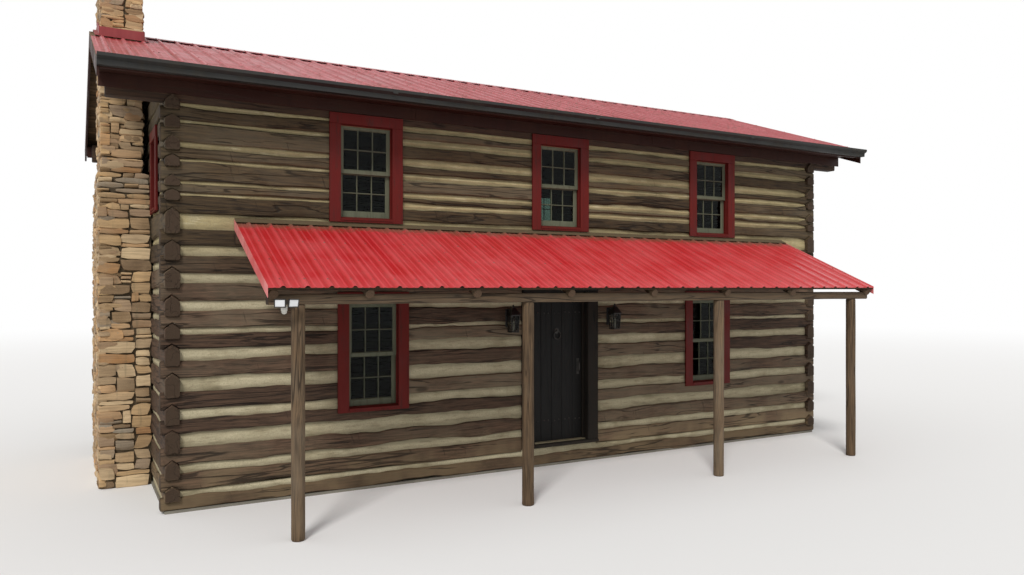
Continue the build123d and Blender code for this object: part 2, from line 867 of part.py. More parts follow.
def ring_knocker():
    """Flat ring knocker at the middle of the leaf, hung from a boss on a round plate."""
    z = leaf_bottom + knocker_height
    ring_z = z - knocker_ring_radius + knocker_ring_width / 4
    ring_back = leaf_setback - knocker_ring_gap
    ring_front = ring_back - knocker_ring_thick
    plate = disc(0, z, knocker_plate_radius, leaf_setback - knocker_plate_thick, leaf_setback)
    boss = disc(0, z, knocker_boss_radius, leaf_setback - knocker_boss_reach, leaf_setback)
    ring = disc(0, ring_z, knocker_ring_radius, ring_front, ring_back)
    ring = ring - disc(0, ring_z, knocker_ring_radius - knocker_ring_width, ring_front - 1, ring_back + 1)
    return plate + boss + ring


def disc(x, z, radius, y_low, y_high):
    """Many-sided disc facing the front, between two distances from the wall face."""
    face = Plane.XZ * RegularPolygon(radius, disc_sides)
    return Pos(x, y_low, z) * extrude(face, amount=y_high - y_low, dir=(0, 1, 0))


def write_door():
    """Write the door's frame, leaf and ironwork."""
    write("door_frame", [door_frame()])
    write("front_door", [front_door()])
    hardware = [strap(level) for level in strap_levels()]
    write("door_hardware", hardware + [pull_handle(), ring_knocker()])


# Porch

def porch_height(y):
    """Underside of the porch roof's sheet at a distance in front of the wall (Y is negative)."""
    return porch_wall_height + porch_tan * y


def pole_places():
    """X of each pole rafter, with one near each end."""
    places = [-porch_half_width + pole_edge]
    first = -porch_half_width + pole_start
    places.extend(first + index * pole_pitch for index in range(pole_count))
    places.append(porch_half_width - pole_edge)
    return places


def beam_top():
    """Top of the porch beam, where the pole rafters are notched over it."""
    return pole_underside(-post_line) + pole_radius * pole_beam_share


def pole_underside(y):
    """Lowest line of the pole rafters at a distance in front of the wall."""
    return porch_height(y) - (purlin_thick + 2 * pole_radius) / porch_cos


def ledger_top():
    """Top of the ledger on the wall, where the pole rafters are notched over it."""
    return pole_underside(-ledger_thick) + pole_radius * pole_ledger_share


def pole_rafter(x):
    """Round pole along the porch roof's slope, seated flat on the ledger and on the beam."""
    low_y = -porch_reach + pole_tail
    centre_drop = (purlin_thick + pole_radius) / porch_cos
    length = (porch_reach + 4 * pole_radius) / porch_cos
    round_face = Plane.XZ * RegularPolygon(pole_radius, pole_sides)
    pole = Pos(0, -length / 2, 0) * extrude(round_face, amount=length, dir=(0, 1, 0))
    pole = Rot(porch_angle, 0, 0) * pole
    middle_y = -porch_reach / 2
    pole = Pos(x, middle_y, porch_height(middle_y) - centre_drop) * pole
    keep = block(x - 2 * pole_radius, x + 2 * pole_radius, low_y, 0, 0, 2 * porch_wall_height)
    beam_seat = block(x - 2 * pole_radius, x + 2 * pole_radius, -post_line - beam_width / 2,
                      -post_line + beam_width / 2, 0, beam_top())
    ledger_seat = block(x - 2 * pole_radius, x + 2 * pole_radius, -ledger_thick, 0, 0, ledger_top())
    top_flat = purlin_flat(x)
    return (pole & keep) - beam_seat - ledger_seat - top_flat


def purlin_flat(x):
    """Flat shaving along a pole's top, on which the purlins lie."""
    points = []
    for y, rise in ((-porch_reach, 0), (pole_radius, 0), (pole_radius, 1), (-porch_reach, 1)):
        points.append((y, porch_height(y) - purlin_seat() + rise * 2 * pole_radius))
    return side_prism(points, x - 2 * pole_radius, x + 2 * pole_radius)


def purlin_seat():
    """Drop from the sheet's underside to the flat on top of the poles."""
    return (purlin_thick + pole_radius * pole_flat_share) / porch_cos


def purlin(index):
    """Board across the poles, under the sheet."""
    spacing = (porch_reach - purlin_width - pole_tail) / (purlin_count - 1)
    low_y = -porch_reach + pole_tail / 2 + index * spacing
    high_y = low_y + purlin_width
    points = [(low_y, porch_height(low_y) - purlin_seat()), (high_y, porch_height(high_y) - purlin_seat())]
    points.extend([(high_y, porch_height(high_y)), (low_y, porch_height(low_y))])
    return side_prism(points, -porch_half_width, porch_half_width)


def rake_trim(side):
    """Folded edge strip along one side of the porch roof."""
    low_y = -porch_reach
    drop = 2 * porch_trim_leg
    points = [(low_y, porch_height(low_y) - drop), (0, porch_height(0) - drop)]
    points.extend([(0, porch_height(0) + rib_height), (low_y, porch_height(low_y) + rib_height)])
    edges = sorted((side * porch_half_width, side * (porch_half_width + porch_trim_thick)))
    return side_prism(points, edges[0], edges[1])


def porch_flashing():
    """Folded strip that lies on the top ends of the ribs and turns up against the wall."""
    crest = (rib_height + sheet_thick) / porch_cos
    lift = porch_trim_thick / porch_cos
    low_y = -2 * porch_trim_leg
    points = [(low_y, porch_height(low_y) + crest), (0, porch_height(0) + crest)]
    points.append((0, porch_height(0) + crest + lift + flashing_upstand))
    points.append((-porch_trim_thick, porch_height(0) + crest + lift + flashing_upstand))
    points.append((-porch_trim_thick, porch_height(-porch_trim_thick) + crest + lift))
    points.append((low_y, porch_height(low_y) + crest + lift))
    return side_prism(points, -porch_half_width, porch_half_width)


def write_porch():
    """Write the porch from its posts to its roof."""
    top = beam_top()
    beam_low = top - beam_depth
    posts = []
    for x in (-outer_post_x, -inner_post_x, inner_post_x, outer_post_x):
        post = extrude(RegularPolygon(post_radius, post_sides), amount=beam_low)
        posts.append(Pos(x, -post_line, 0) * post)
    write("porch_posts", posts)
    beam_half = porch_half_width - beam_end_inset
    write("porch_beam", [block(-beam_half, beam_half, -post_line - beam_width / 2,
                               -post_line + beam_width / 2, beam_low, top)])
    write("porch_ledger", [block(-porch_half_width, porch_half_width, -ledger_thick, 0,
                                 ledger_top() - ledger_depth, ledger_top())])
    write("porch_rafters", [pole_rafter(x) for x in pole_places()])
    write("porch_purlins", [purlin(index) for index in range(purlin_count)])
    sheet = ribbed_sheet(porch_half_width, porch_reach, porch_angle, True)
    write("porch_roof", [Pos(0, -porch_reach, porch_height(-porch_reach)) * sheet])
    write("porch_trim", [rake_trim(-1), rake_trim(1), porch_flashing()])


# Chimney

def write_chimney():
    """Write the stone chimney on the left gable."""
    base_half = chimney_base_width / 2
    stack_half = stack_width / 2
    points = [(ridge_y - base_half, 0), (ridge_y + base_half, 0)]
    points.append((ridge_y + base_half, chimney_base_height))
    points.append((ridge_y + stack_half, stack_bottom))
    points.append((ridge_y - stack_half, stack_bottom))
    points.append((ridge_y - base_half, chimney_base_height))
    outer_x = -half_length - chimney_base_depth
    write("chimney_base", [side_prism(points, outer_x, -half_length)])
    write("chimney_stack", [block(stack_outer_x, stack_inner_x, stack_low_y, stack_high_y,
                                  stack_bottom, stack_top)])
    crown = block(stack_outer_x - crown_edge, stack_inner_x + crown_edge, stack_low_y - crown_edge,
                  stack_high_y + crown_edge, stack_top, stack_top + crown_height)
    middle_x = (stack_outer_x + stack_inner_x) / 2
    half = flue_size / 2
    flue_base = stack_top + crown_height
    flue = block(middle_x - half, middle_x + half, ridge_y - half, ridge_y + half,
                 flue_base, flue_base + flue_height)
    inner = half - flue_wall
    flue = flue - block(middle_x - inner, middle_x + inner, ridge_y - inner, ridge_y + inner,
                        flue_base, flue_base + flue_height + 1)
    write("chimney_crown", [crown + flue])
    write("chimney_flashing", [chimney_flashing()])


def chimney_flashing():
    """Folded metal collar that lies on the ribs round the stack and turns up its sides."""
    seat = deck_rise + (sheet_thick + rib_height) / roof_cos
    lift = flashing_thick / roof_cos
    collar = None
    for low, high, grow in ((seat, seat + lift, flashing_wing), (seat, seat + flashing_height, 0)):
        x_low = stack_outer_x - stack_clearance - grow
        x_high = stack_inner_x + stack_clearance + grow
        y_low = stack_low_y - stack_clearance - grow
        y_high = stack_high_y + stack_clearance + grow
        points = [(y_low, deck_height(y_low) + low), (ridge_y, deck_height(ridge_y) + low)]
        points.extend([(y_high, deck_height(y_high) + low), (y_high, deck_height(y_high) + high)])
        points.extend([(ridge_y, deck_height(ridge_y) + high), (y_low, deck_height(y_low) + high)])
        layer = side_prism(points, x_low, x_high)
        collar = layer if collar is None else collar + layer
    return collar - stack_hole(0)


# Lights

def tapered(x, y, low, high, low_width, high_width):
    """Upright four-sided piece whose width changes evenly from its foot to its top."""
    taper = math.degrees(math.atan((low_width - high_width) / 2 / (high - low)))
    return Pos(x, y, low) * extrude(Rectangle(low_width, low_width), amount=high - low, taper=taper)


def lantern(side):
    """Box lantern on a back plate, with a tapered body and a pyramid roof."""
    x = side * lantern_x
    half = lantern_width / 2
    low = lantern_base
    high = low + lantern_height
    eave = low + lantern_height * lantern_body_share
    middle_y = -lantern_reach - half
    plate = block(x - lantern_plate_width / 2, x + lantern_plate_width / 2, -lantern_plate_thick, 0,
                  low + lantern_plate_inset, high - lantern_plate_inset)
    arm_low = high - lantern_arm_drop
    arm = block(x - lantern_arm_width / 2, x + lantern_arm_width / 2, middle_y, 0,
                arm_low, arm_low + lantern_arm_width)
    body = tapered(x, middle_y, low, eave, lantern_foot_width, lantern_width - 2 * lantern_eave_lip)
    roof = tapered(x, middle_y, eave, high, lantern_width, lantern_finial_width)
    return plate + arm + body + roof


def flood_light():
    """Twin-head flood light with a sensor, screwed to the porch beam's face near its left end."""
    face_y = -post_line - beam_width / 2
    front_y = face_y - flood_reach
    plate_low = beam_top() - beam_depth + flood_plate_rise
    z = plate_low + flood_plate_height / 2
    root_y = face_y - flood_plate_thick / 2
    half_spread = flood_spread / 2
    half_plate = half_spread + flood_plate_end
    flood_x = -porch_half_width + flood_inset
    light = block(flood_x - half_plate, flood_x + half_plate, face_y - flood_plate_thick, face_y,
                  plate_low, plate_low + flood_plate_height)
    for x in (flood_x - half_spread, flood_x + half_spread):
        light = light + disc(x, z, flood_arm_radius, front_y + flood_head_length / 2, root_y)
        light = light + disc(x, z, flood_head_radius, front_y, front_y + flood_head_length)
    half = flood_stalk_width / 2
    stalk_y = face_y - flood_stalk_gap
    sensor_top = plate_low - flood_sensor_size / 2
    light = light + block(flood_x - half, flood_x + half, stalk_y - half, root_y, z - half, z + half)
    light = light + block(flood_x - half, flood_x + half, stalk_y - half, stalk_y + half,
                          sensor_top - half, z)
    sensor = tapered(flood_x, stalk_y, sensor_top - flood_sensor_size, sensor_top,
                     flood_sensor_size * flood_sensor_foot_share, flood_sensor_size)
    return light + sensor


def write_lights():
    """Write the wall lanterns and the flood light."""
    write("wall_lanterns", [lantern(-1), lantern(1)])
    write("flood_light", [flood_light()])


os.makedirs("parts", exist_ok=True)
write_floors()
write_walls()
write_roof()
write_windows()
write_door()
write_porch()
write_chimney()
write_lights()
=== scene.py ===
"""Dress the log cabin's frame: hewn logs, mortar, fieldstone, ribbed metal, windows and ironwork."""

from __future__ import annotations

import json
import logging
import math
import random
from contextlib import contextmanager
from dataclasses import dataclass, field
from enum import Enum
from itertools import product
from typing import Callable, Iterable, Iterator, Sequence

import bmesh
import bpy
import numpy as np
from mathutils import Matrix, Vector, noise
from mathutils.bvhtree import BVHTree

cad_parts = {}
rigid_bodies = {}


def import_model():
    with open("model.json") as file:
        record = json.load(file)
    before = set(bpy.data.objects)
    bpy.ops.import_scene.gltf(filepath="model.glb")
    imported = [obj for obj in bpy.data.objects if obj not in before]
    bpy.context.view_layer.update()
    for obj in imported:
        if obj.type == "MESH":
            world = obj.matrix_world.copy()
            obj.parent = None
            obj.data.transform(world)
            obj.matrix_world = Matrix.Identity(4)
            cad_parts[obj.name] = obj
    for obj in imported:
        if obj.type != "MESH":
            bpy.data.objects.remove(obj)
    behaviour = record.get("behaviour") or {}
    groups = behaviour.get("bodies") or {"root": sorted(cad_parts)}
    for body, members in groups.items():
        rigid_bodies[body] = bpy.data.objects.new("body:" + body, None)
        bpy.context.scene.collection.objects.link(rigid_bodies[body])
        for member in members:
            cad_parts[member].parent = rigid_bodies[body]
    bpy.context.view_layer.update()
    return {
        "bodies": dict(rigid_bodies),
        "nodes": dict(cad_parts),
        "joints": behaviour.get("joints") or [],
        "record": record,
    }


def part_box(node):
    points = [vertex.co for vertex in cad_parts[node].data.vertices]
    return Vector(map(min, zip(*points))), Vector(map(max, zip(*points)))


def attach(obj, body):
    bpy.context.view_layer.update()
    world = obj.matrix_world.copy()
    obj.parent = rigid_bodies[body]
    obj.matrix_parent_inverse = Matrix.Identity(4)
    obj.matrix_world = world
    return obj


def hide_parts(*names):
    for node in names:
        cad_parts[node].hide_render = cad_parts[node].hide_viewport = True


Point = tuple[float, float, float]
Colour = tuple[float, float, float]
Plan = tuple[float, float, float, float]
Ring = Sequence[Sequence[float]]
Place = Callable[[float, float, float], Sequence[float]]
Chance = random.Random
Node = bpy.types.Node
Socket = bpy.types.NodeSocket
Tree = bpy.types.NodeTree
Mesh = bpy.types.Mesh
Material = bpy.types.Material

LOG = logging.getLogger("cabin")
QUARTER = math.pi / 2
EVEN = (1.0, 1.0, 1.0)
WHITE = (1.0, 1.0, 1.0)
NIGHT = (0.004, 0.003, 0.002)
STOREY = 2.6
SOCKETS = {float: "NodeSocketFloat", int: "NodeSocketInt", tuple: "NodeSocketVector", type(None): "NodeSocketMaterial"}


def wave(x: float, y: float, z: float) -> float:
    """Smooth noise from about -1 to 1 at a place."""
    return noise.noise(Vector((x, y, z)))


def blend(low: float, high: float, share: float) -> float:
    """Value at a share of the way from one to another."""
    return low + (high - low) * share


def ease(low: float, high: float, value: float) -> float:
    """Smooth step from 0 at one value to 1 at another."""
    share = min(1.0, max(0.0, (value - low) / (high - low)))
    return share * share * (3.0 - 2.0 * share)


def spans(low: float, high: float, count: int) -> list[tuple[float, float]]:
    """Ends of the equal parts of a stretch."""
    return [(blend(low, high, index / count), blend(low, high, (index + 1) / count)) for index in range(count)]


def circle(sides: int) -> list[float]:
    """Evenly spaced angles of one turn."""
    return [2 * math.pi * index / sides for index in range(sides)]


def square(x: float, y: float, reach: float, level: float) -> list[Point]:
    """Corners of a level square round a place."""
    return [(x + a * reach, y + b * reach, level) for a, b in ((-1, -1), (1, -1), (1, 1), (-1, 1))]


def at(x: float, y: float, z: float, turn: float = 0.0, axis: str = "X") -> Matrix:
    """Matrix that turns about an axis and then moves to a place."""
    return Matrix.Translation((x, y, z)) @ Matrix.Rotation(turn, 4, axis)


def rgb(red: int, green: int, blue: int) -> Colour:
    """Linear colour of a screen colour given from 0 to 255."""
    return tuple(((part / 255) / 12.92 if part <= 10 else ((part / 255 + 0.055) / 1.055) ** 2.4)
        for part in (red, green, blue))


def shade(colour: Colour, share: float) -> Colour:
    """Colour made darker or lighter by a factor."""
    return tuple(min(1.0, part * share) for part in colour)


class Run(Enum):
    """Way that a timber's grain runs, as the turn that brings it onto X."""

    ALONG = (0.0, 0.0, 0.0)
    ACROSS = (0.0, 0.0, QUARTER)
    UPRIGHT = (0.0, QUARTER, 0.0)
    SLOPE = (0.35, 0.0, QUARTER)


class Side(Enum):
    """Face of the chimney, as the place of its outer plane in a plan."""

    WEST = 0
    EAST = 1
    SOUTH = 2
    NORTH = 3

    @property
    def across(self) -> bool:
        """Whether it looks along X."""
        return self.value < 2

    @property
    def low(self) -> bool:
        """Whether it looks down its axis."""
        return self.value % 2 == 0

    def ends(self, plan: Plan) -> Sequence[float]:
        """Where the face starts and ends in a plan of lowest and highest X and Y."""
        return plan[2:] if self.across else plan[:2]


class Graph:
    """Short way to place and join the nodes of one tree."""

    def __init__(self, tree: Tree) -> None:
        """Work on a tree."""
        self.tree = tree

    def node(self, kind: str, inputs: dict | None = None, **settings: object) -> Node:
        """Add a node.

        Args:
            kind: Blender's name of the node type.
            inputs: Values or sockets for its inputs, by name or index.
            **settings: Properties to set on the node first.

        Returns:
            The new node.
        """
        made = self.tree.nodes.new(kind)
        for name, value in settings.items():
            setattr(made, name, value)
        for name, value in (inputs or {}).items():
            self.feed(made.inputs[name], value)
        return made

    def out(self, kind: str, inputs: dict | None = None, **settings: object) -> Socket:
        """First output of a new node."""
        return self.node(kind, inputs, **settings).outputs[0]

    def feed(self, socket: Socket, value: object) -> None:
        """Link a socket into an input, or set the input's own value."""
        if isinstance(value, bpy.types.NodeSocket):
            self.tree.links.new(value, socket)
        elif socket.type == "RGBA" and len(value) == 3:
            socket.default_value = (*value, 1.0)
        else:
            socket.default_value = value

    def math(self, operation: str, *values: object, clamp: bool = False) -> Socket:
        """Result of a math node."""
        return self.out("ShaderNodeMath", dict(enumerate(values)), operation=operation, use_clamp=clamp)

    def times(self, first: object, second: object) -> Socket:
        """Product of two values."""
        return self.math("MULTIPLY", first, second)

    def plus(self, first: object, second: object) -> Socket:
        """Sum of two values."""
        return self.math("ADD", first, second)

    def minus(self, first: object, second: object) -> Socket:
        """Difference of two values."""
        return self.math("SUBTRACT", first, second)

    def most(self, first: object, second: object) -> Socket:
        """Larger of two values."""
        return self.math("MAXIMUM", first, second)

    def vector(self, operation: str, inputs: dict) -> Socket:
        """Result of a vector math node."""
        return self.out("ShaderNodeVectorMath", inputs, operation=operation)

    def join(self, *parts: object) -> Socket:
        """Vector joined from its three parts."""
        return self.out("ShaderNodeCombineXYZ", dict(enumerate(parts)))

    def ramp(self, value: object, low: float, high: float, start: float = 0.0, end: float = 1.0) -> Socket:
        """Smooth step of a value between two limits, given out between start and end."""
        return self.out("ShaderNodeMapRange", {"Value": value, "From Min": low, "From Max": high, "To Min": start,
            "To Max": end}, interpolation_type="SMOOTHSTEP")

    def mix(self, share: object, first: object, second: object) -> Socket:
        """Mix of two colours."""
        return self.node("ShaderNodeMix", {0: share, 6: first, 7: second}, data_type="RGBA").outputs[2]

    def coats(self, body: object, *coats: tuple[object, object]) -> object:
        """Colour with others laid over it in turn, each given as its share and its colour."""
        for share, colour in coats:
            body = self.mix(share, body, colour)
        return body

    def noise(self, vector: object, scale: float, detail: float = 3.0, rough: float = 0.55) -> Socket:
        """Noise value over a vector."""
        return self.out("ShaderNodeTexNoise", {"Vector": vector, "Scale": scale, "Detail": detail,
            "Roughness": rough})

    def stretch(self, vector: object, scale: Point, turn: Point = (0.0, 0.0, 0.0)) -> Socket:
        """Vector turned and then scaled along each axis."""
        turned = self.out("ShaderNodeMapping", {"Vector": vector, "Rotation": turn}, vector_type="POINT")
        return self.vector("MULTIPLY", {0: turned, 1: scale})


class Group(Graph):
    """A shader or geometry node tree of its own, with named ends."""

    def __init__(self, kind: str, name: str, inputs: dict[str, object], outputs: Sequence[str]) -> None:
        """Start the tree.

        Args:
            kind: Shader or Geometry.
            name: Its name.
            inputs: Default of each input, whose Python type gives the socket's; None stands for a material.
            outputs: Names of its outputs: values of a shader group, geometry of the other.
        """
        super().__init__(bpy.data.node_groups.new(name, f"{kind}NodeTree"))
        for title, value in inputs.items():
            socket = self.tree.interface.new_socket(title, in_out="INPUT", socket_type=SOCKETS[type(value)])
            if value is not None:
                socket.default_value = value
        ends = "NodeSocketGeometry" if kind == "Geometry" else "NodeSocketFloat"
        for title in outputs:
            self.tree.interface.new_socket(title, in_out="OUTPUT", socket_type=ends)
        self.given = self.node("NodeGroupInput").outputs
        self.end = self.node("NodeGroupOutput")

    def done(self, *values: object) -> Tree:
        """Feed the outputs and hand back the tree."""
        for socket, value in zip(self.end.inputs, values):
            self.feed(socket, value)
        return self.tree

    def real(self, geometry: Socket) -> Tree:
        """End a geometry tree in real instances of its own finish."""
        real = self.out("GeometryNodeRealizeInstances", {"Geometry": geometry})
        return self.done(self.out("GeometryNodeSetMaterial", {"Geometry": real, "Material": self.given["Finish"]}))


class Effects:
    """Shader groups that several finishes share."""

    def __init__(self) -> None:
        """Build both groups."""
        self.timber, self.weather = self.timber_grain(), self.weather_marks()

    def timber_grain(self) -> Tree:
        """Fibres, drying checks, knots, blotches and axe scores of a timber whose grain runs along X.

        Returns:
            The group, which puts out the five masks.
        """
        to = Group("Shader", "timber_grain", {"Vector": (0.0, 0.0, 0.0), "Tone": 0.5, "Fineness": 1.0},
            ["Fibre", "Check", "Knot", "Blotch", "Score"])
        moved = to.vector("ADD", {0: to.given["Vector"], 1: to.join(to.times(to.given["Tone"], 37.0))})
        place = to.vector("SCALE", {0: moved, 3: to.given["Fineness"]})
        bend = to.noise(to.stretch(place, (0.6, 2.0, 2.0)), 1.0, 2.0)
        bent = to.join(0.0, to.times(bend, 3.2), to.times(bend, 2.6))
        warped = to.vector("ADD", {0: to.stretch(place, (1.0, 22.0, 22.0)), 1: bent})
        broad = to.noise(warped, 2.2, 5.0, 0.62)
        fine = to.noise(to.stretch(warped, (2.6, 8.0, 8.0)), 1.4, 6.0, 0.72)
        fibre = to.plus(to.times(broad, 0.52), to.times(fine, 0.48))
        cuts = to.noise(to.stretch(place, (34.0, 2.4, 2.4), (0.0, 0.25, 0.0)), 1.0, 2.0, 0.5)
        score = to.times(to.ramp(cuts, 0.64, 0.72), to.ramp(to.noise(place, 2.6, 2.0), 0.5, 0.62))
        cracks = []
        for scale, rough, wide, thin in (((0.55, 0.5, 0.5), 0.5, 0.024, 0.004),
                ((0.16, 0.2, 0.2), 0.45, 0.011, 0.002)):
            streak = to.noise(to.stretch(warped, scale), 1.0, 3.0, rough)
            cracks.append(to.ramp(to.math("ABSOLUTE", to.minus(streak, 0.5)), wide, thin))
        broken = to.ramp(to.noise(to.stretch(place, (1.4, 4.0, 4.0)), 1.0, 2.0), 0.46, 0.6)
        check = to.most(to.times(cracks[0], broken), cracks[1])
        cells = to.out("ShaderNodeTexVoronoi", {"Vector": to.stretch(place, (1.0, 2.6, 2.6)), "Scale": 1.15},
            feature="F1")
        return to.done(fibre, check, to.ramp(cells, 0.13, 0.05), to.noise(place, 1.7, 3.0), score)

    def weather_marks(self) -> Tree:
        """Broad stains, run marks down the surface and fine grit.

        Returns:
            The group, which puts out the three masks.
        """
        to = Group("Shader", "weather_marks", {"Vector": (0.0, 0.0, 0.0), "Scale": 1.0}, ["Stain", "Run", "Grit"])
        place = to.vector("SCALE", {0: to.given["Vector"], 3: to.given["Scale"]})
        return to.done(to.noise(place, 1.3, 4.0, 0.6), to.noise(to.stretch(place, (9.0, 9.0, 0.7)), 1.0),
            to.noise(place, 60.0, 3.0, 0.7))


class Surface(Graph):
    """A material under construction, with its Principled shader and Object coordinates."""

    def __init__(self, name: str, effects: Effects | None, rough: float, metallic: float, specular: float) -> None:
        """Make the material and its shader.

        Args:
            name: The material's name.
            effects: The shared shader groups.
            rough: Plain Roughness.
            metallic: Plain Metallic.
            specular: Plain Specular IOR Level.
        """
        self.material = bpy.data.materials.new(name)
        self.material.use_nodes = True
        super().__init__(self.material.node_tree)
        self.effects = effects
        self.shader = self.tree.nodes["Principled BSDF"]
        for title, value in (("Roughness", rough), ("Metallic", metallic), ("Specular IOR Level", specular)):
            self.shader.inputs[title].default_value = value
        self.place = self.node("ShaderNodeTexCoord").outputs["Object"]

    def attribute(self, name: str) -> Socket:
        """Value of one of the piece's own attributes."""
        return self.node("ShaderNodeAttribute", attribute_name=name).outputs["Fac"]

    def height(self) -> Socket:
        """Height above the ground."""
        return self.node("ShaderNodeSeparateXYZ", {0: self.place}).outputs[2]

    def timber(self, run: Run, fineness: float) -> Sequence[Socket]:
        """Masks of the timber group: fibre, check, knot, blotch and score."""
        inputs = {"Vector": self.stretch(self.place, EVEN, run.value), "Tone": self.attribute("tone"),
            "Fineness": fineness}
        return self.node("ShaderNodeGroup", inputs, node_tree=self.effects.timber).outputs

    def weather(self, scale: float) -> Sequence[Socket]:
        """Masks of the weather group: stain, run and grit."""
        return self.node("ShaderNodeGroup", {"Vector": self.place, "Scale": scale},
            node_tree=self.effects.weather).outputs

    def close(self, colour: object, rough: object = None, *bumps: tuple[object, float, float]) -> None:
        """Join colour, roughness and stacked bumps to the shader.

        Args:
            colour: Colour or socket for Base Color.
            rough: Socket for Roughness, or None to keep the plain value.
            *bumps: Height socket, strength and distance of each bump, the broadest first.
        """
        ends = {"Base Color": colour} if rough is None else {"Base Color": colour, "Roughness": rough}
        for value, strength, distance in bumps:
            under = {"Normal": ends["Normal"]} if "Normal" in ends else {}
            ends["Normal"] = self.out("ShaderNodeBump", {"Height": value, "Strength": strength,
                "Distance": distance, **under})
        for title, value in ends.items():
            self.feed(self.shader.inputs[title], value)


@dataclass(frozen=True)
class Finish:
    """What every finish has: a name and plain values for its shader."""

    name: str
    rough = 0.85
    metallic = 0.0
    specular = 0.3

    def build(self, effects: Effects) -> Material:
        """Make the material.

        Args:
            effects: The shared shader groups.

        Returns:
            The finished material.
        """
        surface = Surface(self.name, effects, self.rough, self.metallic, self.specular)
        self.paint(surface)
        return surface.material

    def paint(self, to: Surface) -> None:
        """Leave the surface as it is."""


@dataclass(frozen=True)
class TimberFinish(Finish):
    """Bare or stained timber with grain, checks and weathering."""

    dark: Colour
    light: Colour
    grey: Colour
    greying: float = 0.4
    run: Run = Run.ALONG
    relief: float = 0.004
    rough: float = 0.78
    ends: float = 1.0
    scored: float = 0.0
    low_light: Colour | None = None
    foot: Colour | None = None
    specular = 0.25
    # Heights over which the upper logs turn darker: painted shade of the eaves, together with less bleaching.
    eave_light: tuple[float, float] = (2.35, 3.05)

    def paint(self, to: Surface) -> None:
        """Lay grain, greying, knots, checks, axe scores, the rings of the ends and, where asked, painted eave shade
        that darkens the upper logs along with their lesser bleaching.

        Args:
            to: The surface.
        """
        fibre, check, knot, blotch, score = to.timber(self.run, 1.0)
        tone, mark = to.attribute("tone"), to.attribute("mark")
        lifted = to.ramp(to.plus(to.times(blotch, 0.7), to.times(tone, 0.42)), 0.42, 0.86)
        light = self.light
        if self.low_light:
            light = to.mix(to.ramp(to.height(), *self.eave_light), self.low_light, light)
        body = to.coats(self.dark, (to.ramp(fibre, 0.34, 0.66), light), (to.times(lifted, self.greying), self.grey))
        # Painted shade under the eaves: above these heights the logs darken, partly for the eaves' shade and partly for
        # less bleaching.
        if self.low_light:
            body = to.mix(to.ramp(to.height(), *self.eave_light, 0.0, 0.26), body, self.dark)
        if self.foot:
            near = to.times(to.ramp(to.height(), 0.7, 0.1), to.ramp(blotch, 0.35, 0.6, 0.25, 0.75))
            body = to.mix(near, body, self.foot)
        score = to.times(score, self.scored)
        grown = to.plus(to.times(mark, 34.0), to.times(blotch, 5.0))
        ring = to.ramp(to.math("SINE", grown), -0.5, 0.9, 0.0, 0.5)
        heart = to.mix(ring, shade(self.dark, 0.5 * self.ends), shade(self.dark, 1.5 * self.ends))
        body = to.coats(body, (to.ramp(tone, 0.0, 1.0, 0.42, 0.0), NIGHT),
            (to.times(knot, 0.6), shade(self.dark, 0.35)), (to.times(check, 0.72), shade(self.dark, 0.2)),
            (to.times(score, 0.45), shade(self.dark, 0.3)),
            (to.math("MULTIPLY", mark, 0.75, clamp=True), heart))
        hollow = to.minus(to.times(fibre, 0.5), to.plus(check, to.times(score, 0.5)))
        to.close(body, to.ramp(fibre, 0.2, 0.8, self.rough - 0.1, self.rough + 0.12),
            (blotch, 0.25, self.relief * 3.0), (hollow, 0.75, self.relief))


@dataclass(frozen=True)
class MortarFinish(Finish):
    """Troweled chinking, pale, sandy and stained, with painted shade along its edges where it tucks under the logs."""

    low: Colour
    high: Colour
    stain: Colour
    rough = 0.92
    specular = 0.15

    def paint(self, to: Surface) -> None:
        """Lay stains, patches, runs, painted shade along the edges under the logs, cracks and sand.

        Args:
            to: The surface.
        """
        stain, run, grit = to.weather(1.0)
        patch = to.noise(to.stretch(to.place, (2.2, 2.2, 14.0)), 1.7, 4.0, 0.65)
        cells = to.out("ShaderNodeTexVoronoi", {"Vector": to.stretch(to.place, (1.0, 1.0, 2.2)), "Scale": 1.1},
            feature="DISTANCE_TO_EDGE")
        crack = to.times(to.ramp(cells, 0.006, 0.001), to.ramp(stain, 0.55, 0.66))
        sand = to.noise(to.place, 70.0, 3.0, 0.7)
        body = to.coats(self.low, (to.ramp(to.height(), 2.5, 3.1), self.high),
            (to.ramp(to.attribute("tone"), 0.0, 1.0, 0.0, 0.25), self.stain),
            (to.ramp(stain, 0.44, 0.7, 0.0, 0.6), self.stain),
            (to.ramp(patch, 0.5, 0.72, 0.0, 0.5), shade(self.stain, 0.62)),
            (to.ramp(patch, 0.46, 0.3, 0.0, 0.4), shade(self.low, 1.3)),
            (to.ramp(run, 0.58, 0.8, 0.0, 0.16), shade(self.stain, 0.5)),
            # Painted shade along both edges of each strip, where the mortar tucks under the logs.
            (to.times(to.attribute("mark"), 0.6), shade(self.stain, 0.42)),
            (to.ramp(grit, 0.4, 0.72, 0.0, 0.4), shade(self.low, 0.5)),
            (to.times(crack, 0.5), shade(self.stain, 0.2)),
            (to.ramp(sand, 0.52, 0.7, 0.0, 0.3), shade(self.stain, 0.55)))
        trowel = to.noise(to.stretch(to.place, (2.0, 2.0, 9.0)), 2.0, 3.0)
        to.close(body, None, (trowel, 0.6, 0.016), (patch, 0.5, 0.009),
            (to.minus(to.times(grit, 0.5), crack), 0.7, 0.003), (sand, 0.6, 0.003))


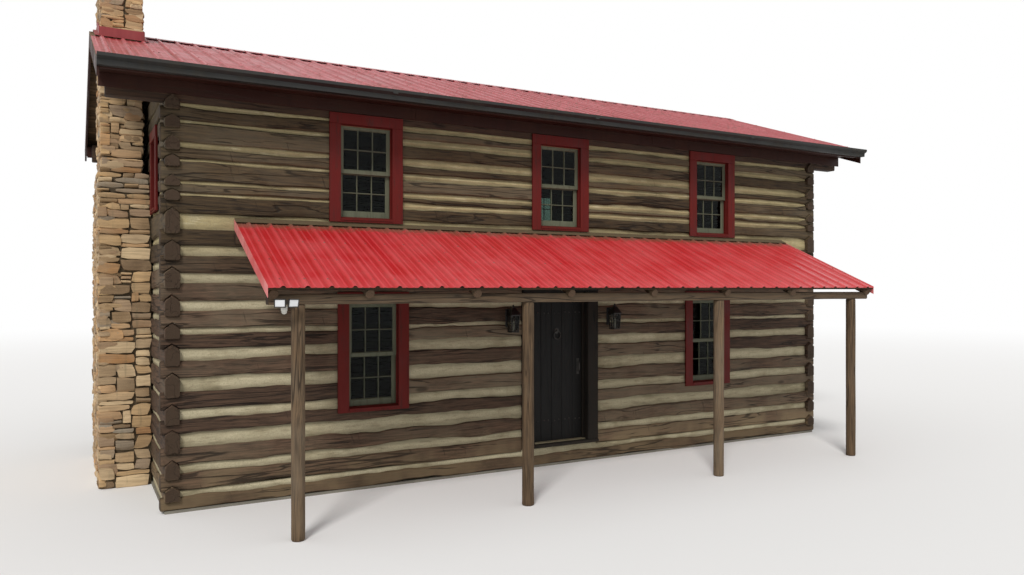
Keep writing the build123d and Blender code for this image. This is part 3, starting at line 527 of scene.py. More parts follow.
@dataclass(frozen=True)
class MetalFinish(Finish):
    """Painted or bare metal with fading, dirt and dents, and on ribbed sheets painted highlight on the rib tops and
    painted shade with dirt at their bases.
    """

    base: Colour
    faded: Colour
    dirt: Colour
    fade: float = 0.5
    rough: float = 0.4
    metallic: float = 0.0
    grime: float = 0.35
    worn_edge: float | None = None
    litter_edge: float | None = None
    specular = 0.5
    litter: Colour = rgb(80, 74, 50)

    def paint(self, to: Surface) -> None:
        """Lay fading, rib crests lightened as painted highlight and wear, dust, leaf litter, grime, and rib bases
        darkened as painted shade with dirt.

        Args:
            to: The surface.
        """
        stain, run, grit = to.weather(1.4)
        streak = to.noise(to.stretch(to.place, (11.0, 0.8, 1.2)), 1.0, 4.0, 0.6)
        share = to.ramp(to.plus(to.times(stain, 0.55), to.times(streak, 0.45)), 0.36, 0.68, 0.0, self.fade)
        if self.worn_edge is not None:
            worn = to.ramp(to.height(), self.worn_edge + 0.16, self.worn_edge, 0.0, 0.45)
            share = to.most(share, to.times(worn, to.ramp(streak, 0.3, 0.6)))
        dust = to.ramp(to.times(run, stain), 0.22, 0.42, 0.0, self.grime)
        # Rib crests lighter: painted highlight, partly paint worn thin.
        body = to.coats(self.base, (share, self.faded), (to.times(to.attribute("crest"), 0.4), self.faded),
            (dust, self.dirt))
        if self.litter_edge is not None:
            near = to.ramp(to.height(), self.litter_edge - 0.17, self.litter_edge + 0.02)
            clumps = to.math("MULTIPLY_ADD", near, 0.42, to.noise(to.place, 11.0, 4.0, 0.65))
            litter = to.times(near, to.ramp(clumps, 0.58, 0.8, 0.0, 0.92))
            dust = to.most(dust, litter)
            body = to.mix(litter, body, self.litter)
        # Rib bases darker through the mark: painted shade in the creases, with dirt that gathers there.
        body = to.coats(body, (to.ramp(grit, 0.6, 0.78, 0.0, self.grime), self.dirt),
            (to.times(to.attribute("mark"), 0.65), self.dirt))
        rough = to.math("ADD", to.ramp(stain, 0.3, 0.7, self.rough - 0.08, self.rough + 0.14), to.times(dust, 0.3),
            clamp=True)
        dent = to.noise(to.stretch(to.place, (3.0, 2.0, 2.0)), 1.6, 2.0)
        to.close(body, rough, (dent, 0.4, 0.008), (grit, 0.15, 0.0006))


@dataclass(frozen=True)
class PaintFinish(Finish):
    """Brush-painted wood with grain showing, chalking and chips."""

    paint_colour: Colour
    chalk: Colour
    wood: Colour
    wear: float = 0.35
    run: Run = Run.UPRIGHT
    rough: float = 0.55
    specular = 0.2

    def paint(self, to: Surface) -> None:
        """Lay chalking, runs, bare wood and dirt.

        Args:
            to: The surface.
        """
        fibre, check, _, blotch, _ = to.timber(self.run, 1.6)
        stain, run, grit = to.weather(1.6)
        bare = to.times(to.ramp(grit, 0.56, 0.66), to.ramp(blotch, 0.5, 0.66, 0.0, self.wear))
        own = self.paint_colour
        body = to.coats(own, (to.ramp(stain, 0.38, 0.72, 0.0, 0.5), self.chalk),
            (to.ramp(run, 0.5, 0.75, 0.0, 0.35), shade(own, 0.35)),
            (to.ramp(fibre, 0.62, 0.35, 0.0, 0.25), shade(own, 0.5)),
            (to.math("ADD", bare, to.times(check, 0.4), clamp=True), self.wood),
            (to.times(to.attribute("mark"), 0.5), shade(own, 0.3)))
        relief = to.minus(to.times(fibre, 0.4), to.plus(bare, check))
        to.close(body, to.ramp(stain, 0.3, 0.7, self.rough - 0.12, self.rough + 0.18), (blotch, 0.15, 0.004),
            (relief, 0.5, 0.0012))


@dataclass(frozen=True)
class StoneFinish(Finish):
    """Flat fieldstones, each with its own tone from a warm range."""

    tones: tuple[Colour, ...]
    lichen: Colour

    def paint(self, to: Surface) -> None:
        """Lay each stone's tone, its beds, stains, lichen and grit.

        Args:
            to: The surface.
        """
        stain, run, grit = to.weather(2.2)
        pick = to.node("ShaderNodeValToRGB", {"Fac": to.attribute("tone")})
        elements = pick.color_ramp.elements
        while len(elements) < len(self.tones):
            elements.new(0.5)
        for index, colour in enumerate(self.tones):
            elements[index].position = index / (len(self.tones) - 1)
            elements[index].color = (*colour, 1.0)
        beds = to.noise(to.stretch(to.place, (1.5, 1.5, 26.0)), 1.4, 4.0, 0.6)
        body = to.coats(pick.outputs[0], (to.ramp(beds, 0.35, 0.7, 0.0, 0.45), shade(self.tones[0], 0.45)),
            (to.ramp(stain, 0.42, 0.66, 0.0, 0.4), self.tones[2]),
            (to.ramp(run, 0.58, 0.72, 0.0, 0.3), self.lichen),
            (to.ramp(grit, 0.58, 0.75, 0.0, 0.5), shade(self.tones[1], 1.5)),
            (to.times(to.attribute("mark"), 0.7), shade(self.tones[0], 0.18)))
        to.close(body, None, (stain, 0.6, 0.014), (beds, 0.7, 0.007), (grit, 0.6, 0.0025))


@dataclass(frozen=True)
class PaneFinish(Finish):
    """Old window glass, tinted dark as painted shade of the room behind, or the frosted panes and lenses of the lamps.
    """

    tint: Colour
    rough: float = 0.02
    clear: float = 1.0
    index: float = 1.45
    specular = 0.5

    def paint(self, to: Surface) -> None:
        """Set how clear it is and lay dust and ripples.

        Args:
            to: The surface.
        """
        to.shader.inputs["Transmission Weight"].default_value = self.clear
        to.shader.inputs["IOR"].default_value = self.index
        stain, run, _ = to.weather(2.0)
        body = to.mix(to.ramp(stain, 0.45, 0.8, 0.0, 0.3), self.tint, shade(self.tint, 0.7))
        to.close(body, to.ramp(run, 0.45, 0.8, self.rough, self.rough + 0.12),
            (to.noise(to.place, 3.0, 2.0), 0.3, 0.001))


class Finishes:
    """Every finish of the cabin, built once and looked up by name."""

    def __init__(self) -> None:
        """Build all the finishes."""
        soot, dust, peeled = rgb(24, 20, 17), rgb(84, 74, 60), (rgb(62, 48, 36), rgb(126, 102, 76))
        inside = (rgb(74, 56, 38), rgb(142, 112, 76), rgb(130, 120, 104), 0.2)
        hewn = (rgb(42, 32, 23), rgb(112, 92, 64), rgb(122, 112, 92), 0.5)
        aged = {"relief": 0.011, "ends": 2.9, "scored": 1.0, "low_light": rgb(116, 90, 72), "foot": rgb(140, 120, 90)}
        warm = (rgb(122, 100, 76), rgb(204, 170, 124), rgb(164, 140, 110), rgb(220, 194, 154), rgb(174, 130, 86),
            rgb(148, 138, 122), rgb(206, 162, 114))
        effects = Effects()
        self.made = {finish.name: finish.build(effects) for finish in (
            TimberFinish("hewn_log_long", *hewn, Run.ALONG, **aged),
            TimberFinish("hewn_log_gable", *hewn, Run.ACROSS, **aged),
            MortarFinish("chinking_mortar", rgb(188, 179, 150), rgb(172, 158, 118), rgb(118, 106, 78)),
            TimberFinish("plate_timber", rgb(38, 26, 20), rgb(84, 62, 46), rgb(88, 78, 66), 0.3, relief=0.006),
            TimberFinish("inside_timber", *inside, Run.ACROSS),
            TimberFinish("inside_timber_long", *inside),
            TimberFinish("floor_timber", rgb(86, 60, 38), rgb(150, 112, 72), rgb(120, 104, 84), 0.15),
            TimberFinish("rafter_timber", *peeled, rgb(120, 112, 98), 0.3, Run.SLOPE, ends=2.8),
            TimberFinish("post_timber", rgb(62, 48, 34), peeled[1], rgb(128, 118, 102), 0.5, Run.UPRIGHT),
            TimberFinish("beam_timber", rgb(52, 38, 28), rgb(108, 84, 60), rgb(104, 94, 78)),
            TimberFinish("door_timber", rgb(4, 4, 4), rgb(15, 13, 11), rgb(26, 23, 20), 0.25, Run.UPRIGHT, 0.003, 0.6),
            TimberFinish("jamb_timber", rgb(15, 12, 9), rgb(36, 29, 22), rgb(48, 42, 34), 0.3, Run.UPRIGHT),
            # Main roof: its pale pink streaks are fading together with painted sheen of sunlit glare.
            MetalFinish("roof_metal_faded", rgb(142, 34, 40), rgb(186, 102, 108), dust, 0.9, 0.45, grime=0.45),
            MetalFinish("roof_metal_bright", rgb(184, 22, 31), rgb(214, 92, 96), dust, 0.4, 0.36, grime=0.1,
                        worn_edge=2.42, litter_edge=3.13),
            MetalFinish("edge_metal", rgb(200, 84, 86), rgb(228, 156, 152), dust, 0.8),
            MetalFinish("flashing_metal", rgb(128, 34, 38), rgb(168, 74, 72), soot, 0.5, 0.5),
            MetalFinish("wall_flashing", rgb(136, 36, 38), rgb(160, 84, 74), dust, 0.5, 0.5, litter_edge=3.1),
            MetalFinish("gutter_metal", rgb(15, 16, 14), rgb(34, 33, 29), rgb(60, 54, 42), 0.5, 0.6, grime=0.3),
            MetalFinish("wrought_iron", rgb(44, 43, 42), rgb(88, 85, 80), rgb(74, 46, 30), 0.6, 0.5, 0.6),
            MetalFinish("lantern_metal", rgb(18, 17, 17), rgb(52, 50, 47), dust, 0.4, 0.42, 0.4),
            MetalFinish("lamp_housing", rgb(36, 33, 30), rgb(74, 70, 62), dust, 0.4, 0.45),
            MetalFinish("sensor_shell", rgb(214, 212, 204), rgb(184, 180, 168), dust, 0.4, 0.45),
            MetalFinish("screw_metal", rgb(176, 84, 82), rgb(180, 150, 140), soot, 0.8, 0.4, 0.5),
            PaintFinish("eave_paint", rgb(50, 24, 17), rgb(62, 38, 27), rgb(44, 33, 24), 0.7, Run.ALONG),
            PaintFinish("window_trim", rgb(92, 17, 13), rgb(102, 33, 26), rgb(48, 33, 25), 0.45),
            PaintFinish("sash_paint", rgb(94, 97, 79), rgb(118, 119, 100), rgb(70, 63, 50), 0.4),
            StoneFinish("fieldstone", warm, rgb(96, 94, 74)),
            # Painted shade: the core behind the stones takes their tones at a sixth of their brightness, standing for
            # the shade deep in the dry-laid joints.
            StoneFinish("joint_core", tuple(shade(tone, 0.16) for tone in warm), soot),
            StoneFinish("clay_flue", (rgb(150, 84, 56), rgb(176, 108, 76), rgb(128, 72, 50)), soot),
            StoneFinish("footing_stone", (rgb(120, 116, 106), rgb(168, 162, 148), rgb(140, 136, 124)),
                        rgb(96, 100, 82)),
            # Painted shade: the window glass is tinted dark so that the room behind reads as shaded.
            PaneFinish("window_glass", (0.2, 0.27, 0.24), 0.02, 1.0, 1.18),
            PaneFinish("lantern_glass", rgb(150, 152, 146), 0.06, 1.0, 1.18),
            PaneFinish("candle_sleeve", rgb(206, 204, 190), 0.4, 0.0),
            PaneFinish("lamp_lens", rgb(240, 242, 244), 0.15, 0.15))}

    def __getitem__(self, name: str) -> Material:
        """The material of that name."""
        return self.made[name]


@dataclass
class Solid:
    """One loose solid of a CAD node, read from a merged copy of its mesh."""

    points: np.ndarray
    faces: list[tuple[int, ...]]

    @property
    def low(self) -> np.ndarray:
        """Lowest corner."""
        return self.points.min(0)

    @property
    def high(self) -> np.ndarray:
        """Highest corner."""
        return self.points.max(0)


def solids_of(node: bpy.types.Object) -> list[Solid]:
    """Separate solids of a CAD node, from the lowest up; its own mesh is left alone."""
    work = bmesh.new()
    work.from_mesh(node.data)
    bmesh.ops.remove_doubles(work, verts=work.verts, dist=1e-5)
    seen, solids = set(), []
    for start in work.verts:
        if start in seen:
            continue
        group = [start]
        seen.add(start)
        for vert in group:
            fresh = [other for other in (edge.other_vert(vert) for edge in vert.link_edges) if other not in seen]
            seen.update(fresh)
            group.extend(fresh)
        index = {vert: number for number, vert in enumerate(group)}
        faces = dict.fromkeys(face for vert in group for face in vert.link_faces)
        solids.append(Solid(np.array([vert.co[:] for vert in group]),
            [tuple(index[vert] for vert in face.verts) for face in faces]))
    work.free()
    return sorted(solids, key=lambda solid: (round(solid.low[2], 3), round(solid.low[0], 3), round(solid.low[1], 3)))


def chamfer_faces() -> list[tuple[int, ...]]:
    """Faces of a box with chamfered edges whose corner n has its three points at 3n, 3n + 1 and 3n + 2."""
    faces = []
    for axis in range(3):
        first, second = [other for other in range(3) if other != axis]
        for side in (0, 1):
            faces.append(tuple(((side << axis) | (a << first) | (b << second)) * 3 + axis
                for a, b in ((0, 0), (1, 0), (1, 1), (0, 1))))
        for start in (0, 1 << second, 1 << first, 1 << first | 1 << second):
            finish = start | (1 << axis)
            faces.append((start * 3 + first, finish * 3 + first, finish * 3 + second, start * 3 + second))
    return faces + [(corner * 3, corner * 3 + 1, corner * 3 + 2) for corner in range(8)]


CHAMFERED = chamfer_faces()


def straight(*spot: float) -> Sequence[float]:
    """A place left as it is."""
    return spot


def by(matrix: Matrix) -> Place:
    """Placing of points by a matrix."""
    return lambda *spot: matrix @ Vector(spot)


@contextmanager
def editing(mesh: Mesh) -> Iterator[bmesh.types.BMesh]:
    """Open a mesh for editing and write it back."""
    work = bmesh.new()
    work.from_mesh(mesh)
    yield work
    work.to_mesh(mesh)
    work.free()


def fill(mesh: Mesh, title: str, values: object) -> None:
    """Give a mesh a value at each point."""
    mesh.attributes.new(title, "FLOAT", "POINT").data.foreach_set("value", np.array(values, np.float32))


def modified(mesh: Mesh, kind: str, inputs: dict | None = None, **settings: object) -> Mesh:
    """New mesh that a modifier makes.

    Args:
        mesh: Mesh that it starts from.
        kind: Blender's name of the modifier.
        inputs: Inputs of its node tree, by name.
        **settings: Properties to set on the modifier.

    Returns:
        The evaluated mesh, with its tone and mark attributes.
    """
    holder = bpy.data.objects.new("holder", mesh)
    bpy.context.scene.collection.objects.link(holder)
    modifier = holder.modifiers.new(kind.lower(), kind)
    for name, value in settings.items():
        setattr(modifier, name, value)
    for item in settings["node_group"].interface.items_tree if inputs else ():
        if item.name in inputs:
            modifier[item.identifier] = inputs[item.name]
    made = bpy.data.meshes.new_from_object(holder.evaluated_get(bpy.context.evaluated_depsgraph_get()))
    holder.modifiers.clear()
    bpy.data.objects.remove(holder)
    for title, value in (("tone", 0.5), ("mark", 0.0)):
        if title not in made.attributes:
            fill(made, title, [value] * len(made.vertices))
    return made


@dataclass
class Shell:
    """Points and faces of a piece while it is made, with a tone and a mark at each point."""

    points: list[Sequence[float]] = field(default_factory=list)
    faces: list[tuple[int, ...]] = field(default_factory=list)
    tones: list[float] = field(default_factory=list)
    marks: list[float] = field(default_factory=list)

    def add(self, points: Ring, faces: Iterable[tuple[int, ...]], tone: float = 0.5,
            marks: Iterable[float] | None = None) -> None:
        """Add a closed form.

        Args:
            points: Its points.
            faces: Its faces, as indices into those points.
            tone: Value of the tone attribute at all its points.
            marks: Values of the mark attribute, or None for no marks.
        """
        first = len(self.points)
        self.points.extend(points)
        self.faces.extend(tuple(first + index for index in face) for face in faces)
        self.tones.extend([tone] * len(points))
        self.marks.extend([0.0] * len(points) if marks is None else marks)

    def board(self, low: Sequence[float], high: Sequence[float], chamfer: float = 0.003, tone: float = 0.5,
            place: Place = straight) -> None:
        """Add a board with chamfered edges.

        Args:
            low: One corner, before it is placed.
            high: The opposite corner.
            chamfer: Width of the chamfer.
            tone: Its tone.
            place: Where each point of the board goes.
        """
        points = []
        for corner in range(8):
            picked = [corner >> axis & 1 for axis in range(3)]
            ends = [(high if picked[axis] else low)[axis] for axis in range(3)]
            inward = [-chamfer if picked[axis] == (high[axis] > low[axis]) else chamfer for axis in range(3)]
            for axis in range(3):
                points.append(place(*(ends[other] + (other != axis) * inward[other] for other in range(3))))
        self.add(points, CHAMFERED, tone)

    def boards(self, boxes: Iterable[Sequence[Sequence[float]]], chamfer: float, chance: Chance | float,
            place: Place = straight) -> None:
        """Add several boards.

        Args:
            boxes: Two opposite corners of each.
            chamfer: Width of their chamfers.
            chance: Source of a tone for each, or the one tone of all.
            place: Where each point goes.
        """
        for low, high in boxes:
            self.board(low, high, chamfer, chance if isinstance(chance, float) else chance.random(), place)

    def timber(self, rings: Sequence[Ring], tone: float = 0.5) -> None:
        """Add a closed timber through rings of points, with marks that grow towards the heart of both ends.

        Args:
            rings: The rings, each with as many points.
            tone: Its tone.
        """
        shares, ends = (0.66, 0.33, 0.06), []
        for ring in (rings[0], rings[-1]):
            heart = [sum(point[axis] for point in ring) / len(ring) for axis in range(3)]
            ends.append([[[blend(heart[axis], point[axis], share) for axis in range(3)] for point in ring]
                for share in shares])
        marks = [3.0 - 2.0 * share for share in shares]
        body = [1.0, *[0.0] * (len(rings) - 2), 1.0]
        self.rings([*reversed(ends[0]), *rings, *ends[1]], tone, [*reversed(marks), *body, *marks])

    def rings(self, rings: Sequence[Ring], tone: float = 0.5, marks: Sequence = (), tube: bool = False) -> None:
        """Add a closed form through rings of points, capped at both ends.

        Args:
            rings: The rings, each with as many points.
            tone: Its tone.
            marks: One mark, or one for each point, of each ring.
            tube: Whether the last ring runs on into the first, without caps.
        """
        size, rows = len(rings[0]), len(rings)
        around, last = range(size), (rows - 1) * size
        faces = [] if tube else [tuple(around), tuple(last + index for index in reversed(around))]
        for row in range(rows if tube else rows - 1):
            start, finish = row * size, (row + 1) % rows * size
            faces.extend((start + (index + 1) % size, start + index, finish + index, finish + (index + 1) % size)
                for index in around)
        spread = np.broadcast_to(np.reshape(marks or [0.0] * rows, (rows, -1)), (rows, size)).ravel()
        self.add([point for ring in rings for point in ring], faces, tone, spread)

    def lathe(self, profile: Sequence[tuple[float, float]], place: Matrix, sides: int = 24,
            tube: bool = False) -> None:
        """Add a turned form.

        Args:
            profile: Radius and height of each ring, from one end to the other.
            place: Matrix that puts its upright axis in place.
            sides: Sides of each ring.
            tube: Whether the profile closes on itself round a bore.
        """
        self.rings([[place @ Vector((radius * math.cos(a), radius * math.sin(a), height)) for a in circle(sides)]
            for radius, height in profile], tube=tube)

    def mesh(self, name: str) -> Mesh:
        """Mesh of all that was added."""
        mesh = bpy.data.meshes.new(name)
        mesh.from_pydata([tuple(point) for point in self.points], [], self.faces)
        fill(mesh, "tone", self.tones)
        fill(mesh, "mark", self.marks)
        return mesh


@dataclass
class Assembly:
    """What every part of the cabin is built with: the frame and the finishes."""

    frame: dict
    finishes: Finishes
    shell: Shell = field(default_factory=Shell, init=False)
    chance: Chance = field(default_factory=Chance, init=False)

    def solids(self, node: str) -> list[Solid]:
        """Separate solids of a CAD node."""
        return solids_of(self.frame["nodes"][node])

    def dress(self, finish: str, *nodes: str) -> None:
        """Give CAD nodes that stay their finish."""
        for node in nodes:
            piece = self.frame["nodes"][node]
            if not piece.material_slots:
                piece.data.materials.append(None)
            for slot in piece.material_slots:
                slot.material = self.finishes[finish]
            LOG.info("%s keeps its form and is finished in %s", node, finish)

    def piece(self, name: str, finish: str, slot: str, *replaces: str, made: Shell | Mesh | None = None,
            body: str = "cabin", angle: float = 30.0) -> None:
        """Point all faces outwards, shade them and make them a piece of the cabin.

        Args:
            name: The piece's name.
            finish: Name of its finish.
            slot: The record's slot; not used.
            *replaces: CAD nodes that it stands for.
            made: Shell or mesh of closed forms, or None for the shell in hand, which a new one then follows.
            body: The body that it rides on.
            angle: Edges sharper than this stay sharp.
        """
        if made is None:
            made, self.shell = self.shell, Shell()
        mesh = made.mesh(name) if isinstance(made, Shell) else made
        with editing(mesh) as work:
            bmesh.ops.recalc_face_normals(work, faces=work.faces)
        mesh.materials.clear()
        mesh.materials.append(self.finishes[finish])
        mesh.shade_smooth()
        mesh.set_sharp_from_angle(angle=math.radians(angle))
        piece = bpy.data.objects.new(name, mesh)
        bpy.context.scene.collection.objects.link(piece)
        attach(piece, body)
        if replaces:
            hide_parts(*replaces)
        LOG.info("%s: %d faces", name, len(mesh.polygons))


class Lying:
    """A plain timber or strip turned so that it runs along X, to read its outline."""

    inside = 0.0008
    step_half = 0.0015

    def __init__(self, solid: Solid, run: Run) -> None:
        """Turn the solid."""
        self.run = run
        points = np.array([self.turned(point) for point in solid.points])
        self.tree = BVHTree.FromPolygons([tuple(point) for point in points], solid.faces)
        self.edges = {round(float(x), 4) for x in points[:, 0]}
        (self.low, self.outer, self.floor), (self.high, self.inner, self.top) = points.min(0), points.max(0)
        self.middle = (self.outer + self.inner) / 2

    def turned(self, point: Sequence[float]) -> Point:
        """Swap X and Y for timbers that run across."""
        return tuple(point) if self.run is Run.ALONG else (point[1], point[0], point[2])

    def level(self, along: float, across: float, way: int) -> float:
        """Height of its top (way -1) or underside (way 1) at a place."""
        x = min(max(along, self.low + self.inside), self.high - self.inside)
        start = Vector((x, across, self.top + 1 if way < 0 else self.floor - 1))
        hit = self.tree.ray_cast(start, Vector((0, 0, way)))[0]
        return hit.z if hit else (self.top if way < 0 else self.floor)

    def stations(self, step: float) -> list[float]:
        """Places at which it gets a ring, in order, with a close pair at each step in its outline."""
        low, high = self.low, self.high
        count = max(2, round((high - low) / step))
        places = [*(blend(low, high, index / count) for index in range(count + 1)), low + 0.012, high - 0.012]
        for edge in self.edges:
            if low + 0.02 < edge < high - 0.02:
                places.extend([edge - self.step_half, edge + self.step_half])
        kept: list[float] = []
        for place in sorted(places):
            if not kept or place - kept[-1] > 0.0012:
                kept.append(place)
        return kept


@dataclass(frozen=True)
class HewnStyle:
    """How far the broadaxe left a timber from straight, in metres."""

    step: float = 0.055
    edge_wave: float = 0.034
    high_share: float = 0.62
    wane: float = 0.016
    face_wave: float = 0.006
    scallop: float = 0.003
    seat: float = 0.2
    shave: float = 0.0
    shave_from: float = -3.1


@dataclass
class Hewer(Assembly):
    """Reshapes plain timbers into hewn ones on the same seats."""

    run: Run = Run.ALONG
    style: HewnStyle = HewnStyle()
    seed: int = 7

    def face(self, along: float, across: float, level: float, way: int, seed: float) -> Point:
        """Point on a hewn face, moved in or out by the axe."""
        swell = self.style.face_wave * wave(along * 2.1, level * 5, seed + across)
        cut = self.style.scallop * abs(wave(along * 7.0, level * 1.5, seed + 3.0)) * 2.0
        return (along, across + way * (cut - swell - self.style.scallop), level)

    def hew(self, solid: Solid, wall: Sequence[float]) -> None:
        """Add one hewn timber.

        Args:
            solid: The plain timber.
            wall: Where the whole wall starts and ends along the timber, for the straight seats.
        """
        style, log, chance = self.style, Lying(solid, self.run), self.chance
        outer, inner, middle, half = log.outer, log.inner, log.middle, (log.inner - log.outer) / 2
        seed, tone, upper = chance.uniform(0, 90), chance.random(), log.floor > STOREY
        edge_wave = style.edge_wave * chance.uniform(0.6, 1.2) * (style.high_share if upper else 1.0)
        wane = style.wane * chance.uniform(0.6, 1.4)
        rings, places = [], log.stations(style.step)
        for along in places:
            free = ease(style.seat, style.seat + 0.2, min(along - wall[0], wall[1] - along))
            slimmer = upper * style.shave * free * ease(style.shave_from, style.shave_from + 0.7, along)
            lift, drop = (edge_wave * free * (wave(along * slow, seed, row) + 0.38 * wave(along * quick, seed, other))
                for slow, row, quick, other in ((1.3, 0.3, 5.2, 4.0), (1.2, 9.1, 4.6, 6.0)))
            lift -= slimmer
            if log.level(along, middle, -1) < log.top - 0.01:
                lift = min(lift, 0.0)
            bottom = log.level(along, middle, 1) + drop + slimmer
            crest, near, far = (log.level(along, across, -1) + lift
                for across in (middle, outer + 0.004, inner - 0.004))
            soft = wane * (1.0 + 0.6 * wave(along * 1.7, seed, 2.2))
            edge = soft * 0.9
            ring = [(along, outer + soft, bottom),
                *(self.face(along, outer, level, 1, seed) for level in (
                    bottom + edge, blend(bottom, near, 0.36), blend(bottom, near, 0.66), near - edge)),
                (along, outer + soft, near + (crest - near) / half * soft), (along, middle, crest),
                (along, inner - soft, far + (crest - far) / half * soft),
                *(self.face(along, inner, level, -1, seed) for level in (
                    far - edge, blend(bottom, far, 0.5), bottom + edge)),
                (along, inner - soft, bottom), (along, middle, bottom + 0.001)]
            if along in (places[0], places[-1]):
                centre = (bottom + crest) / 2
                ring = [(x, blend(middle, y, 0.93), blend(centre, z, 0.94)) for x, y, z in ring]
            rings.append([log.turned(point) for point in ring])
        self.shell.timber(rings, tone)

    def wall(self, finish: str, slot: str, *nodes: str) -> None:
        """Hew every timber of some nodes, one piece for each node, in a wall as long as the first."""
        axis = 0 if self.run is Run.ALONG else 1
        ends = [corner[axis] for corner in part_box(nodes[0])]
        for number, node in enumerate(nodes):
            self.chance = Chance(self.seed * 100 + number)
            for solid in self.solids(node):
                self.hew(solid, ends)
            self.piece(f"hewn_{node}", finish, slot, node, angle=50.0)


@dataclass
class Chinker(Assembly):
    """Trowels the mortar between the logs, tucked behind their wavy edges."""

    run: Run = Run.ALONG
    tuck: float = 0.03
    seed: int = 3
    step: float = 0.075
    # Each row: its share of the gap's height (below 0 and above 1 for the parts tucked under the logs), its depth and
    # its mark, the painted shade near the logs' edges.
    rows: tuple[Point, ...] = ((-1.0, 0.006, 1.0), (0.12, 0.0, 0.5), (0.4, -0.002, 0.0), (0.7, 0.001, 0.0),
        (0.9, 0.006, 0.55), (2.0, 0.011, 1.0))

    def strip(self, solid: Solid) -> None:
        """Add one strip of mortar.

        Args:
            solid: The plain strip.
        """
        gap, seed = Lying(solid, self.run), self.chance.uniform(0, 90)
        rings, marks = [], []
        for along in gap.stations(self.step):
            bottom, crest = gap.level(along, gap.middle, 1), gap.level(along, gap.middle, -1)
            covered = crest > gap.top - 0.004 and gap.top - gap.floor > 0.02
            ring = []
            for share, depth, mark in self.rows:
                level = bottom - self.tuck if share < 0 else blend(bottom, crest, share)
                if share > 1:
                    level = crest + (self.tuck if covered else -0.003)
                rough = 0.0035 * wave(along * 2.3, level * 8, seed) + 0.0015 * wave(along * 9, level * 20, seed)
                ring.append((depth + rough, level, mark))
            rings.append([gap.turned((along, gap.outer + depth, level)) for depth, level, _ in ring]
                + [gap.turned((along, gap.inner - depth, level)) for depth, level, _ in reversed(ring)])
            marks.append([mark for _, _, mark in [*ring, *reversed(ring)]])
        self.shell.rings(rings, self.chance.random(), marks)

    def trowel(self, node: str) -> None:
        """Trowel every strip of a node."""
        self.chance = Chance(self.seed)
        for solid in self.solids(node):
            self.strip(solid)
        self.piece(f"troweled_{node}", "chinking_mortar", "chinking", node, angle=60.0)


@dataclass
class LogWalls(Assembly):
    """The four hewn walls, their chinking and the timbers that lie on them."""

    plank: float = 0.14
    shave: float = 0.024
    tuck: float = 0.03

    def build(self) -> None:
        """Build the walls."""
        sawn = HewnStyle(step=0.12, edge_wave=0.003, wane=0.01, face_wave=0.003, scallop=0.001)
        for run, style, seed, *rest in (
                (Run.ALONG, HewnStyle(shave=self.shave), 7, "hewn_log_long", "hewn_logs", "front_logs_long",
                 "front_logs_left", "front_logs_right"),
                (Run.ALONG, HewnStyle(), 11, "hewn_log_long", "hewn_logs", "rear_logs"),
                (Run.ACROSS, HewnStyle(), 13, "hewn_log_gable", "hewn_logs", "left_gable_logs", "right_gable_logs"),
                (Run.ALONG, sawn, 17, "plate_timber", "dark_timber", "wall_plates"),
                (Run.ALONG, sawn, 19, "rafter_timber", "structural_timber", "ridge_beam")):
            Hewer(self.frame, self.finishes, run, style, seed).wall(*rest)
        for seed, (node, run, tuck) in enumerate((
                ("front_chinking", Run.ALONG, self.tuck + self.shave), ("rear_chinking", Run.ALONG, self.tuck),
                ("left_gable_chinking", Run.ACROSS, self.tuck), ("right_gable_chinking", Run.ACROSS, self.tuck)), 31):
            Chinker(self.frame, self.finishes, run, tuck, seed).trowel(node)
        self.dress("footing_stone", "footing")
        self.dress("inside_timber", "floor_joists")
        for node in ("ground_floor", "upper_floor"):
            self.planks(node)

    def planks(self, node: str) -> None:
        """Board one floor, with butt joints that are staggered from row to row."""
        low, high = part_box(node)
        chance = Chance(len(node))
        for start, finish in spans(low.y, high.y, round((high.y - low.y) / self.plank)):
            cuts = [low.x, *sorted(blend(low.x, high.x, share + chance.uniform(-0.1, 0.1)) for share in (0.3, 0.7)),
                high.x]
            self.shell.boards((((left + 0.0008, start + 0.001, low.z), (right - 0.0008, finish - 0.001, high.z))
                for left, right in zip(cuts, cuts[1:])), 0.0022, chance)
        self.piece(f"{node}_planks", "floor_timber", "floor_boards", node)


